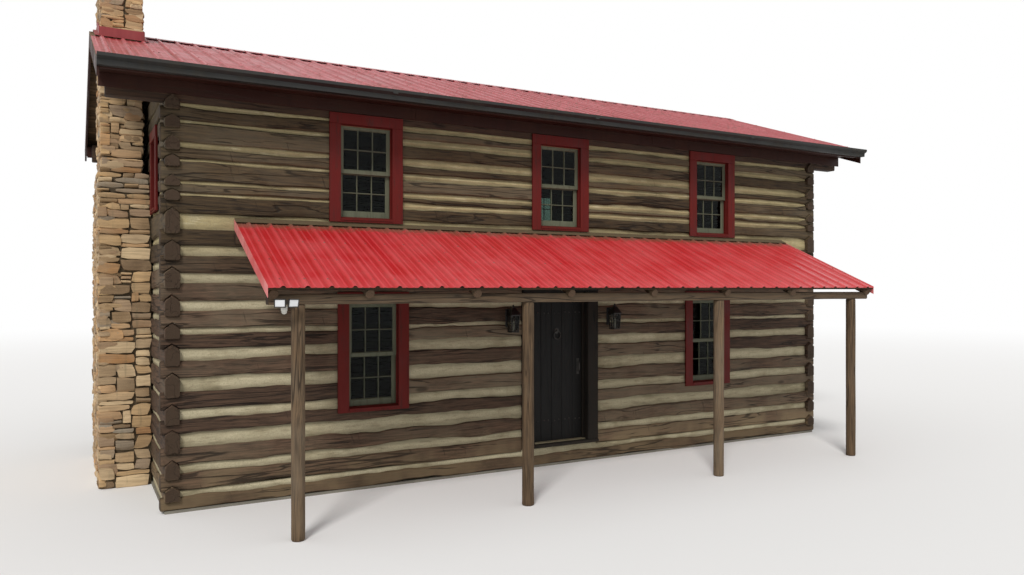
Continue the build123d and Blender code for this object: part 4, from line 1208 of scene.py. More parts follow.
@dataclass
class Chimney(Assembly):
    """Dry-laid fieldstone chimney: thin stones in uneven bands round a core painted near-black as the shade in its
    joints.
    """

    length: tuple[float, float] = (0.13, 0.44)
    height: tuple[float, float] = (0.036, 0.15)
    full_height: float = 6.5
    shoulder: float = 0.42
    band: float = 0.075
    cell: float = 0.02
    ledge: float = 0.012
    corner_in: float = 0.016
    shortest: float = 0.08
    shoulder_end: float = 0.09
    exposed: tuple[Side, ...] = (Side.WEST, Side.SOUTH, Side.NORTH)
    joint: float = 0.009
    bed: float = 0.19
    core_inset: float = 0.045
    cap: float = 0.09
    seed: int = 41

    def stone(self, low: Sequence[float], high: Sequence[float]) -> None:
        """Add one uneven stone that fills a box and thins out towards its ends.

        Args:
            low: Lowest corner.
            high: Highest corner.
        """
        chance = self.chance
        low, high = Vector(low), Vector(high)
        size, centre, half = high - low, (low + high) / 2, (high - low) / 2
        long = 0 if size.x > size.y else 1
        cells = [4 if axis == long and size[long] > 0.14 else 2 for axis in range(3)]
        seed = chance.uniform(0, 500)
        most = 0.5 if size.z < 0.08 else 0.26
        lean = chance.uniform(-0.3, 0.3) * half.z / half[long]
        thin = (chance.uniform(0.05, most), chance.uniform(0.05, most))
        tilt, bulge = chance.uniform(-0.09, 0.09), chance.uniform(0.86, 1.12)
        index: dict[tuple[int, ...], int] = {}
        points, faces = [], []

        def corner(key: tuple[int, ...]) -> int:
            """Index of the point at a cell corner."""
            if key not in index:
                unit = Vector([2 * key[axis] / cells[axis] - 1 for axis in range(3)])
                shape = unit.lerp(unit / max(unit.length, 1e-6) * 1.15, 0.26)
                shape.z *= bulge * (1 - thin[unit[long] >= 0] * abs(unit[long]) ** 2.2)
                shape.z += tilt * unit[long]
                shape[long] += lean * unit.z
                point = centre + shape * half
                rough = [wave(*(point * 8 + Vector((seed, axis * 7.0, 0)))) for axis in range(3)]
                point += Vector([rough[axis] * min(half[axis] * 0.3, 0.018) for axis in range(3)])
                point.z = max(point.z, 0.0)
                index[key] = len(points)
                points.append(tuple(point))
            return index[key]

        for axis in range(3):
            first, second = [other for other in range(3) if other != axis]
            for side, a, b in product((0, cells[axis]), range(cells[first]), range(cells[second])):
                ring = []
                for da, db in ((0, 0), (1, 0), (1, 1), (0, 1)):
                    key = {axis: side, first: a + da, second: b + db}
                    ring.append(corner(tuple(key[other] for other in range(3))))
                faces.append(tuple(ring))
        self.shell.add(points, faces, chance.random())

    def lay(self, side: Side, plan: Plan, low: float, high: float) -> None:
        """Lay one face, always at its lowest open place, with stones of chance length and height.

        Args:
            side: The face.
            plan: Lowest and highest X and Y of the outer faces.
            low: Underside of the face.
            high: Its top.
        """
        chance, (start, finish) = self.chance, side.ends(plan)
        count = round((finish - start) / self.cell)
        cell = (finish - start) / count
        least = round(self.shortest / cell)
        sky = [low] * count
        while min(sky) < high - self.ledge:
            floor = min(sky)
            first = last = sky.index(floor)
            while last + 1 < count and sky[last + 1] - floor < self.ledge:
                last += 1
            while first > 0 and sky[first - 1] - floor < self.ledge:
                first -= 1
            room = last - first + 1
            width = round(chance.uniform(*self.length) / cell)
            width = room if room - width < least else width
            if chance.random() < 0.5:
                first = last - width + 1
            last = first + width - 1
            top = floor + chance.uniform(*self.height) * blend(1.2, 0.85, floor / self.full_height)
            top = high if high - top < 0.03 else top
            ends = [start + first * cell, start + (last + 1) * cell]
            ends[0] += chance.choice((0.0, self.corner_in)) if first == 0 else 0.0
            ends[1] -= chance.choice((0.0, self.corner_in)) if last == count - 1 else 0.0
            self.set_stone(side, plan, (*ends, floor, top))
            sky[first:last + 1] = [top] * width

    def set_stone(self, side: Side, plan: Plan, span: Plan) -> None:
        """Set one stone in a face.

        Args:
            side: The face.
            plan: Lowest and highest X and Y of the outer faces.
            span: Where it starts and ends along the face, its underside and its top.
        """
        chance, (start, finish, under, over) = self.chance, span
        outer = plan[side.value]
        proud = chance.uniform(-0.018, 0.004)
        gap = self.joint * chance.uniform(0.1, 0.6)
        bed = self.bed * chance.uniform(0.45, 1.5)
        near, far = (outer - proud, outer + bed) if side.low else (outer - bed, outer + proud)
        spots = ((near, start + gap, under + gap / 2), (far, finish - gap, over - gap / 2))
        self.stone(*(spot if side.across else (spot[1], spot[0], spot[2]) for spot in spots))

    def course(self, plan: Plan, low: float, high: float, odd: bool) -> None:
        """Lay one band of stones round the shoulders.

        Args:
            plan: Lowest and highest X and Y of the outer faces.
            low: Underside of the band.
            high: Top of the band.
            odd: Whether the long faces' stones run through to the corners in this band.
        """
        for side in self.exposed:
            place, finish = side.ends(plan)
            if odd != side.across:
                place += self.bed
                finish -= self.bed if side.across else 0.0
            while place < finish - 0.02:
                width = min(self.chance.uniform(*self.length), finish - place)
                if finish - place - width < self.shoulder_end:
                    width = finish - place
                self.set_stone(side, plan, (place, place + width, low, high))
                place += width

    def fill(self, core: Shell, plan: Plan, low: float, high: float, back: float = 0.0) -> None:
        """Fill up what lies behind the stones."""
        inset = self.core_inset
        core.board((plan[0] + inset, plan[2] + inset, low), (plan[1] - back, plan[3] - inset, high), 0.002)

    def build(self) -> None:
        """Build the base, its shoulders, the stack and what closes it."""
        (foot, base_high), (low, high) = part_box("chimney_base"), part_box("chimney_stack")
        base, stack = (foot.x, base_high.x, foot.y, base_high.y), (low.x, high.x, low.y, high.y)
        shoulder, core, self.chance = low.z - self.shoulder, Shell(), Chance(self.seed)
        for side in self.exposed:
            self.lay(side, base, foot.z, shoulder)
        self.fill(core, base, foot.z, shoulder)
        steps = round(self.shoulder / self.band)
        for step, (under, over) in enumerate(spans(shoulder, low.z, steps)):
            share = (step + 1) / steps
            plan = (*base[:2], blend(base[2], stack[2], share), blend(base[3], stack[3], share))
            self.course(plan, under, over, step % 2 == 0)
            self.fill(core, plan, under, over - 0.004)
        self.close("chimney_base", core)
        core = Shell()
        for side in Side:
            self.lay(side, stack, low.z, high.z)
        self.fill(core, stack, low.z - 0.02, high.z - 0.002, self.core_inset)
        self.close("chimney_stack", core)
        self.crown()
        self.dress("flashing_metal", "chimney_flashing")

    def close(self, node: str, core: Shell) -> None:
        """Make one part's stones and core into pieces."""
        self.piece(f"{node}_stones", "fieldstone", "fieldstone", node, angle=55.0)
        # The core is painted near-black as the shade seen through the joints.
        self.piece(f"{node}_core", "joint_core", "mortar", made=core, angle=38.0)

    def crown(self) -> None:
        """Cap of flat stones with a clay flue standing on it."""
        low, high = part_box("chimney_crown")
        top, centre = low.z + self.cap, (low + high) / 2
        for near, far in spans(low.y, high.y, 3):
            self.stone((low.x, near + 0.003, low.z), (high.x, far - 0.003, top + 0.006))
        self.shell.board((low.x + 0.05, low.y + 0.05, low.z + 0.005), (high.x - 0.05, high.y - 0.05, top - 0.006), 0.01)
        self.piece("chimney_cap_stones", "fieldstone", "fieldstone", "chimney_crown", angle=55.0)
        rings = []
        for reach, level in ((0.21, top - 0.03), (0.21, high.z - 0.035), (0.218, high.z - 0.03),
                (0.218, high.z - 0.006), (0.212, high.z), (0.176, high.z), (0.17, high.z - 0.01),
                (0.17, top - 0.03)):
            ring = []
            for angle in circle(32):
                x, y = math.cos(angle + math.pi / 32), math.sin(angle + math.pi / 32)
                spread = max(abs(x), abs(y))
                size = reach / spread * (min(1.0, 1.12 * spread ** 0.5) if spread < 0.8 else 1.0)
                ring.append((centre.x + size * x, centre.y + size * y, level))
            rings.append(ring)
        self.shell.rings(rings, 0.6, tube=True)
        self.piece("flue_tile", "clay_flue", "fieldstone", angle=38.0)


@dataclass(frozen=True)
class Facing:
    """Local frame of a wall: along it, in from its outer face, and up."""

    origin: Vector
    along: Vector
    inward: Vector

    def place(self, along: float, depth: float, level: float) -> Point:
        """Place in the row frame of a point on the wall."""
        point = self.origin + self.along * along + self.inward * depth
        return (point.x, point.y, level)

    def local(self, point: Sequence[float]) -> tuple[float, float]:
        """Distance along the wall and in from its face of a point in the row frame."""
        offset = Vector((point[0], point[1], 0)) - self.origin
        return offset.dot(self.along), offset.dot(self.inward)


@dataclass
class Opening:
    """One window's clear opening in its wall's local frame, with the boxes of its sashes."""

    facing: Facing
    left: float
    right: float
    sashes: list[tuple[float, ...]] = field(default_factory=list)

    @property
    def sill(self) -> float:
        """Foot of the lower sash."""
        return min(box[4] for box in self.sashes)

    @property
    def head(self) -> float:
        """Top of the upper sash."""
        return max(box[5] for box in self.sashes)


@dataclass
class Windows(Assembly):
    """Double-hung six-over-six windows with painted casings."""

    frame_thick: float = 0.038
    casing_side: float = 0.135
    casing_head: float = 0.127
    casing_foot: float = 0.054
    casing_proud: float = 0.025
    wall_thick: float = 0.15
    chink_in: float = 0.02
    stile: float = 0.045
    bottom_rail: float = 0.08
    stop_near: float = 0.018
    stop_far: float = 0.038
    stop: float = 0.012
    bar: float = 0.017
    putty: float = 0.009
    columns: int = 3
    rows: int = 2
    seed: int = 53

    def facings(self) -> list[Facing]:
        """Local frames of the front, rear, left and right walls."""
        found = []
        for side, (x, y) in (("front", (0, 1)), ("rear", (0, -1)), ("left_gable", (1, 0)), ("right_gable", (-1, 0))):
            low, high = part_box(f"{side}_chinking")
            near, inward = low if x + y > 0 else high, Vector((x, y, 0))
            origin = Vector((near.x * abs(x), near.y * abs(y), 0)) - inward * self.chink_in
            found.append(Facing(origin, Vector((y, -x, 0)), inward))
        return found

    def openings(self) -> list[Opening]:
        """Find each window from its two sashes."""
        found: dict[tuple[int, int], Opening] = {}
        facings = self.facings()
        for solid in self.solids("window_sashes"):
            centre = (solid.low + solid.high) / 2
            number = min(range(4), key=lambda index: abs(facings[index].local(centre)[1] - 0.07))
            ends, depths = zip(*(facings[number].local(corner) for corner in (solid.low, solid.high)))
            left, right = sorted(ends)
            key = (number * 10 + int(centre[2] > STOREY), round((left + right) * 10))
            opening = found.setdefault(key, Opening(facings[number], left, right))
            opening.sashes.append((left, right, *sorted(depths), float(solid.low[2]), float(solid.high[2])))
        return list(found.values())

    def casing(self, shell: Shell, opening: Opening) -> None:
        """Add one window's casing boards, box frame, stops and sloped sill.

        Args:
            shell: What they are added to.
            opening: The window.
        """
        place, left, right = opening.facing.place, opening.left, opening.right
        sill, head, near, far, stop = opening.sill, opening.head, self.stop_near, self.stop_far, self.stop
        front, thick, back = -self.casing_proud, self.frame_thick, self.wall_thick
        out_left, out_right = left - self.casing_side, right + self.casing_side
        foot, top = sill - self.casing_foot, head + self.casing_head
        shell.boards((((out_left, front, foot), (left, 0.0, head)), ((right, front, foot), (out_right, 0.0, head)),
            ((out_left, front - 0.004, head), (out_right, 0.0, top)),
            ((left, front - 0.002, foot), (right, 0.0, sill - 0.012)),
            ((left - thick, 0.0, sill - thick), (left, back, head + thick)),
            ((right, 0.0, sill - thick), (right + thick, back, head + thick)),
            ((left, 0.0, head), (right, back, head + thick)),
            ((left, 0.0, sill - thick), (right, back, sill)),
            ((left, near, sill), (left + stop, far, head)), ((right - stop, near, sill), (right, far, head)),
            ((left, near, head - stop), (right, far, head))), 0.0025, self.chance, place)
        nose = ((-0.034, sill - 0.03), (-0.034, sill - 0.008), (0.04, sill + 0.012), (0.04, sill - 0.03))
        shell.rings([[place(along, depth, level) for depth, level in nose] for along in (left, right)],
            self.chance.random())

    def sash(self, opening: Opening, box: Sequence[float]) -> None:
        """Add one sash with its rails, stiles, bars and putty.

        Args:
            opening: The window that it slides in.
            box: Its left, right, front, back, foot and top.
        """
        shell, (left, right, near, far, foot, top) = self.shell, box
        place, tone, middle = opening.facing.place, self.chance.random(), (near + far) / 2
        rail = self.bottom_rail if foot < opening.sill + 0.01 else self.stile
        start, finish, under, over = left + self.stile, right - self.stile, foot + rail, top - self.stile
        shell.boards((((left, near, foot), (start, far, top)), ((finish, near, foot), (right, far, top)),
            ((start, near + 0.001, foot), (finish, far - 0.001, under)),
            ((start, near + 0.001, over), (finish, far - 0.001, top))), 0.003, tone, place)
        half, front, back = self.bar / 2, near + 0.004, far - 0.004
        section = ((-0.003, front), (0.003, front), (half, middle), (half, middle + 0.004), (0.005, back),
            (-0.005, back), (-half, middle + 0.004), (-half, middle))
        for u, _ in spans(start, finish, self.columns)[1:]:
            shell.rings([[place(u + side, depth, end) for side, depth in section] for end in (under, over)], tone)
        for z, _ in spans(under, over, self.rows)[1:]:
            shell.rings([[place(end, depth, z + side) for side, depth in section] for end in (start, finish)], tone)
        for ends, (du, dz) in ((((start, under), (start, over)), (1, 0)), (((finish, under), (finish, over)), (-1, 0)),
                (((start, under), (finish, under)), (0, 1)), (((start, over), (finish, over)), (0, -1))):
            shell.rings([[place(u, near + 0.003, z), place(u + du * self.putty, middle - 0.002, z + dz * self.putty),
                place(u, middle - 0.002, z)] for u, z in ends], tone)

    def build(self) -> None:
        """Build the casings and sashes and finish the glass."""
        self.chance = Chance(self.seed)
        groups = {side: Shell() for side in ("front", "rear", "gable")}
        for opening in self.openings():
            inward = opening.facing.inward
            side = "gable" if abs(inward.x) > 0.5 else ("front" if inward.y > 0 else "rear")
            self.casing(groups[side], opening)
            for box in opening.sashes:
                self.sash(opening, box)
        for side, shell in groups.items():
            node = f"{side}_window_frames"
            self.piece(f"painted_{node}", "window_trim", "window_trim", node, made=shell)
        self.piece("glazed_sashes", "sash_paint", "sash_paint", "window_sashes")
        self.dress("window_glass", "window_glass")


@dataclass(frozen=True)
class SheetTrees:
    """Geometry Nodes trees of a ribbed metal sheet and of the screws along its ribs."""

    offsets: tuple[float, ...] = (-0.03, -0.011, 0.011, 0.03, 0.064, 0.07, 0.082, 0.088, 0.1406, 0.1466, 0.1586,
        0.1646)
    heights: tuple[float, ...] = (0.0, 1.0, 1.0, 0.0, 0.0, 0.16, 0.16, 0.0, 0.0, 0.16, 0.16, 0.0)
    # Mark at each column: painted shade with dirt at the base of each rib.
    dirt: tuple[float, ...] = (0.3, 0.0, 0.0, 0.3, 0.08, 0.0, 0.0, 0.08, 0.08, 0.0, 0.0, 0.08)

    def sheet(self) -> Tree:
        """Tree whose grid takes the ribs' profile."""
        to = Group("Geometry", "ribbed_sheet",
            {"Ribs": 37, "Pitch": 0.2286, "Start": 0.0, "Length": 1.8, "Rows": 12, "Rib Height": 0.02,
             "Buckle": 0.002, "Seed": 0, "Finish": None}, ["Geometry"])
        given, count = to.given, float(len(self.offsets))
        rows = given["Rows"]
        grid = to.out("GeometryNodeMeshGrid", {"Size X": 1.0, "Size Y": 1.0, "Vertices Y": rows,
            "Vertices X": to.times(given["Ribs"], count)})

        def whole(value: Socket, size: object) -> tuple[Socket, Socket]:
            """How many times a size goes into a whole number, and what is left."""
            times = to.math("FLOOR", to.math("DIVIDE", to.plus(value, 0.5), size))
            return times, to.minus(value, to.times(times, size))

        column, row = whole(to.out("GeometryNodeInputIndex"), rows)
        rib, within = whole(column, count)
        values = []
        for table in (self.offsets, self.heights, self.dirt):
            switch = to.node("GeometryNodeIndexSwitch", {"Index": within}, data_type="FLOAT")
            while len(switch.index_switch_items) < count:
                switch.index_switch_items.new()
            for number, value in enumerate(table, 1):
                switch.inputs[number].default_value = value
            values.append(switch.outputs[0])
        offset, height, dirt = values
        x = to.plus(to.math("MULTIPLY_ADD", rib, given["Pitch"], given["Start"]), offset)
        y = to.times(to.math("DIVIDE", row, to.minus(rows, 1.0)), given["Length"])
        swell = to.out("ShaderNodeTexNoise", {"Vector": to.join(x, y, given["Seed"]), "Scale": 2.1,
            "Detail": 1.0})
        buckle = to.times(to.minus(swell, 0.5), given["Buckle"])
        place = to.join(x, y, to.plus(to.times(height, given["Rib Height"]), buckle))
        last = to.out("GeometryNodeSetPosition", {"Geometry": grid, "Position": place})
        # mark holds the painted shade and dirt at the rib bases, crest the painted highlight on the rib tops.
        for name, value in (("mark", dirt), ("crest", to.ramp(height, 0.0, 0.16))):
            last = to.out("GeometryNodeStoreNamedAttribute", {"Geometry": last, "Name": name, "Value": value},
                data_type="FLOAT", domain="POINT")
        return to.real(last)

    def screws(self) -> Tree:
        """Tree that stands a washered screw at each crossing of a rib and a row."""
        to = Group("Geometry", "rib_screws",
            {"Ribs": 37, "Pitch": 0.2286, "Rows": 4, "Spacing": 0.5, "Head": 0.006, "Jitter": 0.004,
             "Seed": 5, "Finish": None}, ["Geometry"])
        given = to.given
        width = to.times(to.minus(given["Ribs"], 1.0), given["Pitch"])
        depth = to.times(to.minus(given["Rows"], 1.0), given["Spacing"])
        grid = to.out("GeometryNodeMeshGrid", {"Size X": width, "Size Y": depth, "Vertices X": given["Ribs"],
            "Vertices Y": given["Rows"]})
        stray = to.out("FunctionNodeRandomValue", {0: (-1.0, -1.0, 0.0), 1: (1.0, 1.0, 0.0),
            "Seed": given["Seed"]}, data_type="FLOAT_VECTOR")
        moved = to.out("GeometryNodeSetPosition",
            {"Geometry": grid, "Offset": to.vector("SCALE", {0: stray, 3: given["Jitter"]})})
        joined = to.node("GeometryNodeJoinGeometry")
        for sides, share, height in ((10, 1.7, 0.0016), (6, 1.0, 0.006)):
            disc = to.out("GeometryNodeMeshCylinder", {"Vertices": sides, "Depth": height,
                "Radius": to.times(given["Head"], share)})
            lift = to.out("GeometryNodeTransform", {"Geometry": disc, "Translation": (0.0, 0.0, height / 2)})
            to.feed(joined.inputs[0], lift)
        return to.real(to.out("GeometryNodeInstanceOnPoints", {"Points": moved, "Instance": joined.outputs[0]}))


@dataclass
class Roofs(Assembly):
    """Ribbed roofs over the cabin and the porch, their edges and their gutters."""

    pitch: float = 0.2286
    rib_base: float = 0.06
    rib_height: float = 0.02
    sheet: float = 0.0022
    chimney_gap: float = 0.02
    screw_inset: float = 0.16
    board: float = 0.165
    soffit: float = 0.02
    fascia: float = 0.025
    frieze: float = 0.022
    straps: int = 14
    lift: float = 0.0008
    cap_screws: int = 46
    cap_spacing: float = 0.09
    cap_line: float = 0.6

    def __post_init__(self) -> None:
        """Build both trees."""
        self.sheet_tree, self.screw_tree = SheetTrees().sheet(), SheetTrees().screws()

    def grown(self, tree: Tree, finish: str, inputs: dict[str, object]) -> Mesh:
        """Plain mesh of a tree with its finish and inputs."""
        return modified(bpy.data.meshes.new("holder"), "NODES",
            {**inputs, "Pitch": self.pitch, "Finish": self.finishes[finish]}, node_group=tree)

    def cut(self, work: bmesh.types.BMesh, spot: Point, way: Point, clear: bool = False) -> None:
        """Cut a mesh along a plane, and clear what lies beyond it where asked."""
        bmesh.ops.bisect_plane(work, geom=[*work.verts, *work.edges, *work.faces], plane_co=spot, plane_no=way,
            clear_outer=clear)

    def clear(self, work: bmesh.types.BMesh, node: str, gap: float = 0.0) -> None:
        """Take out of a mesh every face over a box, from the gable as far as the box's far side.

        Args:
            work: The mesh.
            node: The node whose box it is.
            gap: Width of the gap kept round it.
        """
        low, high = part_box(node)
        gone = [face for face, spot in ((face, face.calc_center_median()) for face in work.faces)
            if spot.x < high.x + gap and low.y - gap < spot.y < high.y + gap]
        bmesh.ops.delete(work, geom=gone, context="FACES")

    def cover(self, node: str, finish: str, slot: str, rows: int, screw_rows: int, rear: bool, seed: int) -> None:
        """Lay one ribbed sheet and its screws.

        Args:
            node: The plain sheet that it replaces.
            finish: Name of its finish.
            slot: The record's slot.
            rows: Rows of points down the slope.
            screw_rows: Rows of screws.
            rear: Whether the sheet rises towards the front.
            seed: Seed of its buckles.
        """
        low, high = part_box(node)
        angle = math.atan2(high.z - low.z - self.rib_height, high.y - low.y)
        half, length = (high.x - low.x) / 2, (high.y - low.y) / math.cos(angle)
        place = at(0, high.y if rear else low.y, low.z + self.lift, math.pi if rear else 0.0, "Z") @ Matrix.Rotation(
            angle, 4, "X")
        count = int((2 * half - self.rib_base) // self.pitch) + 1
        mesh = self.grown(self.sheet_tree, finish, {
            "Ribs": count + 2, "Start": -(count + 1) / 2 * self.pitch, "Length": length, "Rows": rows,
            "Rib Height": self.rib_height, "Seed": seed})
        screws = self.grown(self.screw_tree, "screw_metal", {
            "Ribs": count, "Rows": screw_rows, "Spacing": (length - 2 * self.screw_inset) / (screw_rows - 1)})
        screws.transform(place @ Matrix.Translation((0, length / 2, self.rib_height + self.sheet)))
        with editing(mesh) as work, editing(screws) as heads:
            for side in (-1, 1):
                self.cut(work, (side * half, 0, 0), (side, 0, 0), True)
            bmesh.ops.transform(work, matrix=place, verts=work.verts)
            if "main" in node:
                (near, far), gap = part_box("chimney_stack"), self.chimney_gap
                self.cut(work, (far.x + gap, 0, 0), (1, 0, 0))
                for y in (near.y - gap, far.y + gap):
                    self.cut(work, (0, y, 0), (0, 1, 0))
                self.clear(work, "chimney_stack", gap)
                self.clear(heads, "chimney_flashing")
        mesh = modified(mesh, "SOLIDIFY", thickness=self.sheet, offset=1.0)
        self.piece(f"ribbed_{node}", finish, slot, node, made=mesh, angle=25.0)
        self.piece(f"{node}_screws", "screw_metal", slot, made=screws)

    def build(self) -> None:
        """Lay the roofs and finish what edges them."""
        self.cover("main_roof_front", "roof_metal_faded", "red_roof_metal", 14, 5, False, 1)
        self.cover("main_roof_rear", "roof_metal_faded", "red_roof_metal", 14, 5, True, 2)
        self.cover("porch_roof", "roof_metal_bright", "porch_roof_metal", 12, 4, False, 3)
        for node, finish in (("ridge_cap", "roof_metal_faded"), ("gutters", "gutter_metal"),
                ("barge_boards", "eave_paint"), ("main_rafters", "rafter_timber")):
            self.dress(finish, node)
        self.trims()
        self.eaves()
        self.deck()
        self.ridge_screws()
        self.gutter_straps()

    def ridge_screws(self) -> None:
        """Screw the ridge cap down along both wings."""
        low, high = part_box("ridge_cap")
        centre, half = (low + high) / 2, (high.y - low.y) / 2
        angle = math.atan2(high.z - low.z - 0.004, half)
        mesh = bpy.data.meshes.new("ridge_screws")
        with editing(mesh) as work:
            for side in (-1, 1):
                screws = self.grown(self.screw_tree, "screw_metal",
                    {"Ribs": self.cap_screws, "Rows": 2, "Spacing": self.cap_spacing, "Seed": 9 + side})
                screws.transform(at(centre.x, centre.y, high.z, -side * angle)
                    @ Matrix.Translation((0, side * half * self.cap_line, 0.0)))
                work.from_mesh(screws)
        self.piece("ridge_screws", "screw_metal", "red_roof_metal", made=mesh)

    def gutter_straps(self) -> None:
        """Hold both gutters with straps across their mouths and sleeves over their joints."""
        board = self.shell.board
        for solid in self.solids("gutters"):
            low, high = solid.low, solid.high
            top, front, way = high[2], *((low[1], 1) if low[1] < 0 else (high[1], -1))
            for left, right in spans(low[0], high[0], self.straps):
                x = (left + right) / 2
                board((x - 0.0125, low[1] + 0.004, top - 0.016), (x + 0.0125, high[1] - 0.004, top - 0.013), 0.0008)
            for share in (0.27, 0.52, 0.77):
                x = blend(low[0], high[0], share)
                board((x - 0.03, front - way * 0.0012, top - 0.05), (x + 0.03, front + way * 0.002, top), 0.0005)
        self.piece("gutter_straps", "gutter_metal", "gutter_metal")

    def trims(self) -> None:
        """Part the porch roof's trims into the two rakes and the strip along the wall."""
        strip = Shell()
        for solid in self.solids("porch_trim"):
            wide = solid.high[0] - solid.low[0] > 1.0
            (strip if wide else self.shell).add(solid.points, solid.faces)
        self.piece("porch_rake_trims", "edge_metal", "edge_metal", "porch_trim")
        self.piece("porch_wall_flashing", "wall_flashing", "edge_metal", made=strip)

    def eaves(self) -> None:
        """Board the eaves with soffit, fascia and frieze, in lengths that butt together."""
        chance = Chance(29)
        for solid in self.solids("eave_boards"):
            low, high = solid.low, solid.high
            outer, inner, way = (low[1], high[1], 1) if low[1] < 0 else (high[1], low[1], -1)
            level, face = high[2] - 0.049, outer + way * self.fascia
            for near, far, under, over, cuts in (
                    (face, inner, level - self.soffit, level, (0.0, 0.22, 0.49, 0.71, 1.0)),
                    (outer, face, high[2] - 0.13, high[2], (0.0, 0.36, 0.69, 1.0)),
                    (inner - way * self.frieze, inner, low[2], level - self.soffit, (0.0, 0.31, 0.64, 1.0))):
                ends = [blend(low[0], high[0], cut) for cut in cuts]
                self.shell.boards((((start + 0.001, near, under), (finish - 0.001, far, over))
                    for start, finish in zip(ends, ends[1:])), 0.0025, chance)
        self.piece("eave_boarding", "eave_paint", "eave_paint", "eave_boards")

    def deck(self) -> None:
        """Board the deck that the rafters carry."""
        chance = Chance(83)
        for solid in self.solids("roof_boards"):
            low, high, points = solid.low, solid.high, solid.points
            y0, y1 = (float(points[near, 1].mean()) for near in (points[:, 2] < low[2] + 0.001,
                points[:, 2] > high[2] - 0.001))
            thick = float(np.ptp(points[np.abs(points[:, 1] - y0) < 0.03, 2]))
            slope, gap = (high[2] - low[2] - thick) / (y1 - y0), math.copysign(0.002, y1 - y0)

            def place(x: float, y: float, z: float) -> Point:
                """Raise a point onto the deck's slope."""
                return (x, y, low[2] + slope * (y - y0) + z)

            rows = spans(y0, y1, round(abs(y1 - y0) / self.board))
            self.shell.boards((((low[0], start + gap, 0.0), (high[0], finish - gap, thick)) for start, finish in rows),
                0.002, chance, place)
        self.piece("deck_boards", "inside_timber_long", "floor_boards", "roof_boards")


@dataclass
class Porch(Assembly):
    """Round posts and pole rafters under the porch roof."""

    step: float = 0.07
    sides: int = 18
    seed: int = 61

    def pole(self, start: Vector, finish: Vector, radius: float) -> None:
        """Add a peeled pole with swellings and knots.

        Args:
            start: Centre of its first end.
            finish: Centre of its other end.
            radius: Its radius.
        """
        along = finish - start
        turn = along.to_track_quat("Z", "Y").to_matrix()
        seed, rings = self.chance.uniform(0, 90), []
        inner = [share for share, _ in spans(0.0, 1.0, max(2, round(along.length / self.step)))[1:]]
        for share in (0.0, 0.006, *inner, 0.994, 1.0):
            ring = []
            for angle in circle(self.sides):
                x, y = math.cos(angle), math.sin(angle)
                size = radius * (0.9 if share in (0.0, 1.0) else 1.0) * (
                    0.98 - 0.05 * wave(x, y, seed + share * 3) - 0.03 * abs(wave(x * 3, y * 3, seed + share * 9)))
                ring.append(start + along * share + turn @ Vector((x * size, y * size, 0)))
            rings.append(ring)
        self.shell.timber(rings, self.chance.random())

    def build(self) -> None:
        """Build the posts and poles and finish the sawn timbers."""
        self.chance = Chance(self.seed)
        for node, name, finish in (("porch_posts", "peeled_posts", "post_timber"),
                ("porch_rafters", "peeled_rafters", "rafter_timber")):
            for solid in self.solids(node):
                low, high, points = solid.low, solid.high, solid.points
                centre, radius = (low + high) / 2, float(high[0] - low[0]) / 2
                ends = (centre[0], centre[1], low[2]), (centre[0], centre[1], high[2])
                if node == "porch_rafters":
                    near, far = points[points[:, 1] < low[1] + 0.002, 2], points[points[:, 1] > high[1] - 0.002, 2]
                    ends = ((centre[0], low[1], (near.min() + near.max()) / 2 - 0.001),
                        (centre[0], high[1], far.max() - radius - 0.002))
                self.pole(Vector(ends[0]), Vector(ends[1]), radius)
            self.piece(name, finish, "porch_poles", node, angle=60.0)
        sawn = HewnStyle(step=0.1, edge_wave=0.003, wane=0.008, face_wave=0.0025, scallop=0.0012, seat=-1.0)
        Hewer(self.frame, self.finishes, Run.ALONG, sawn, 67).wall("beam_timber", "structural_timber", "porch_beam",
            "porch_ledger")
        self.dress("beam_timber", "porch_purlins")


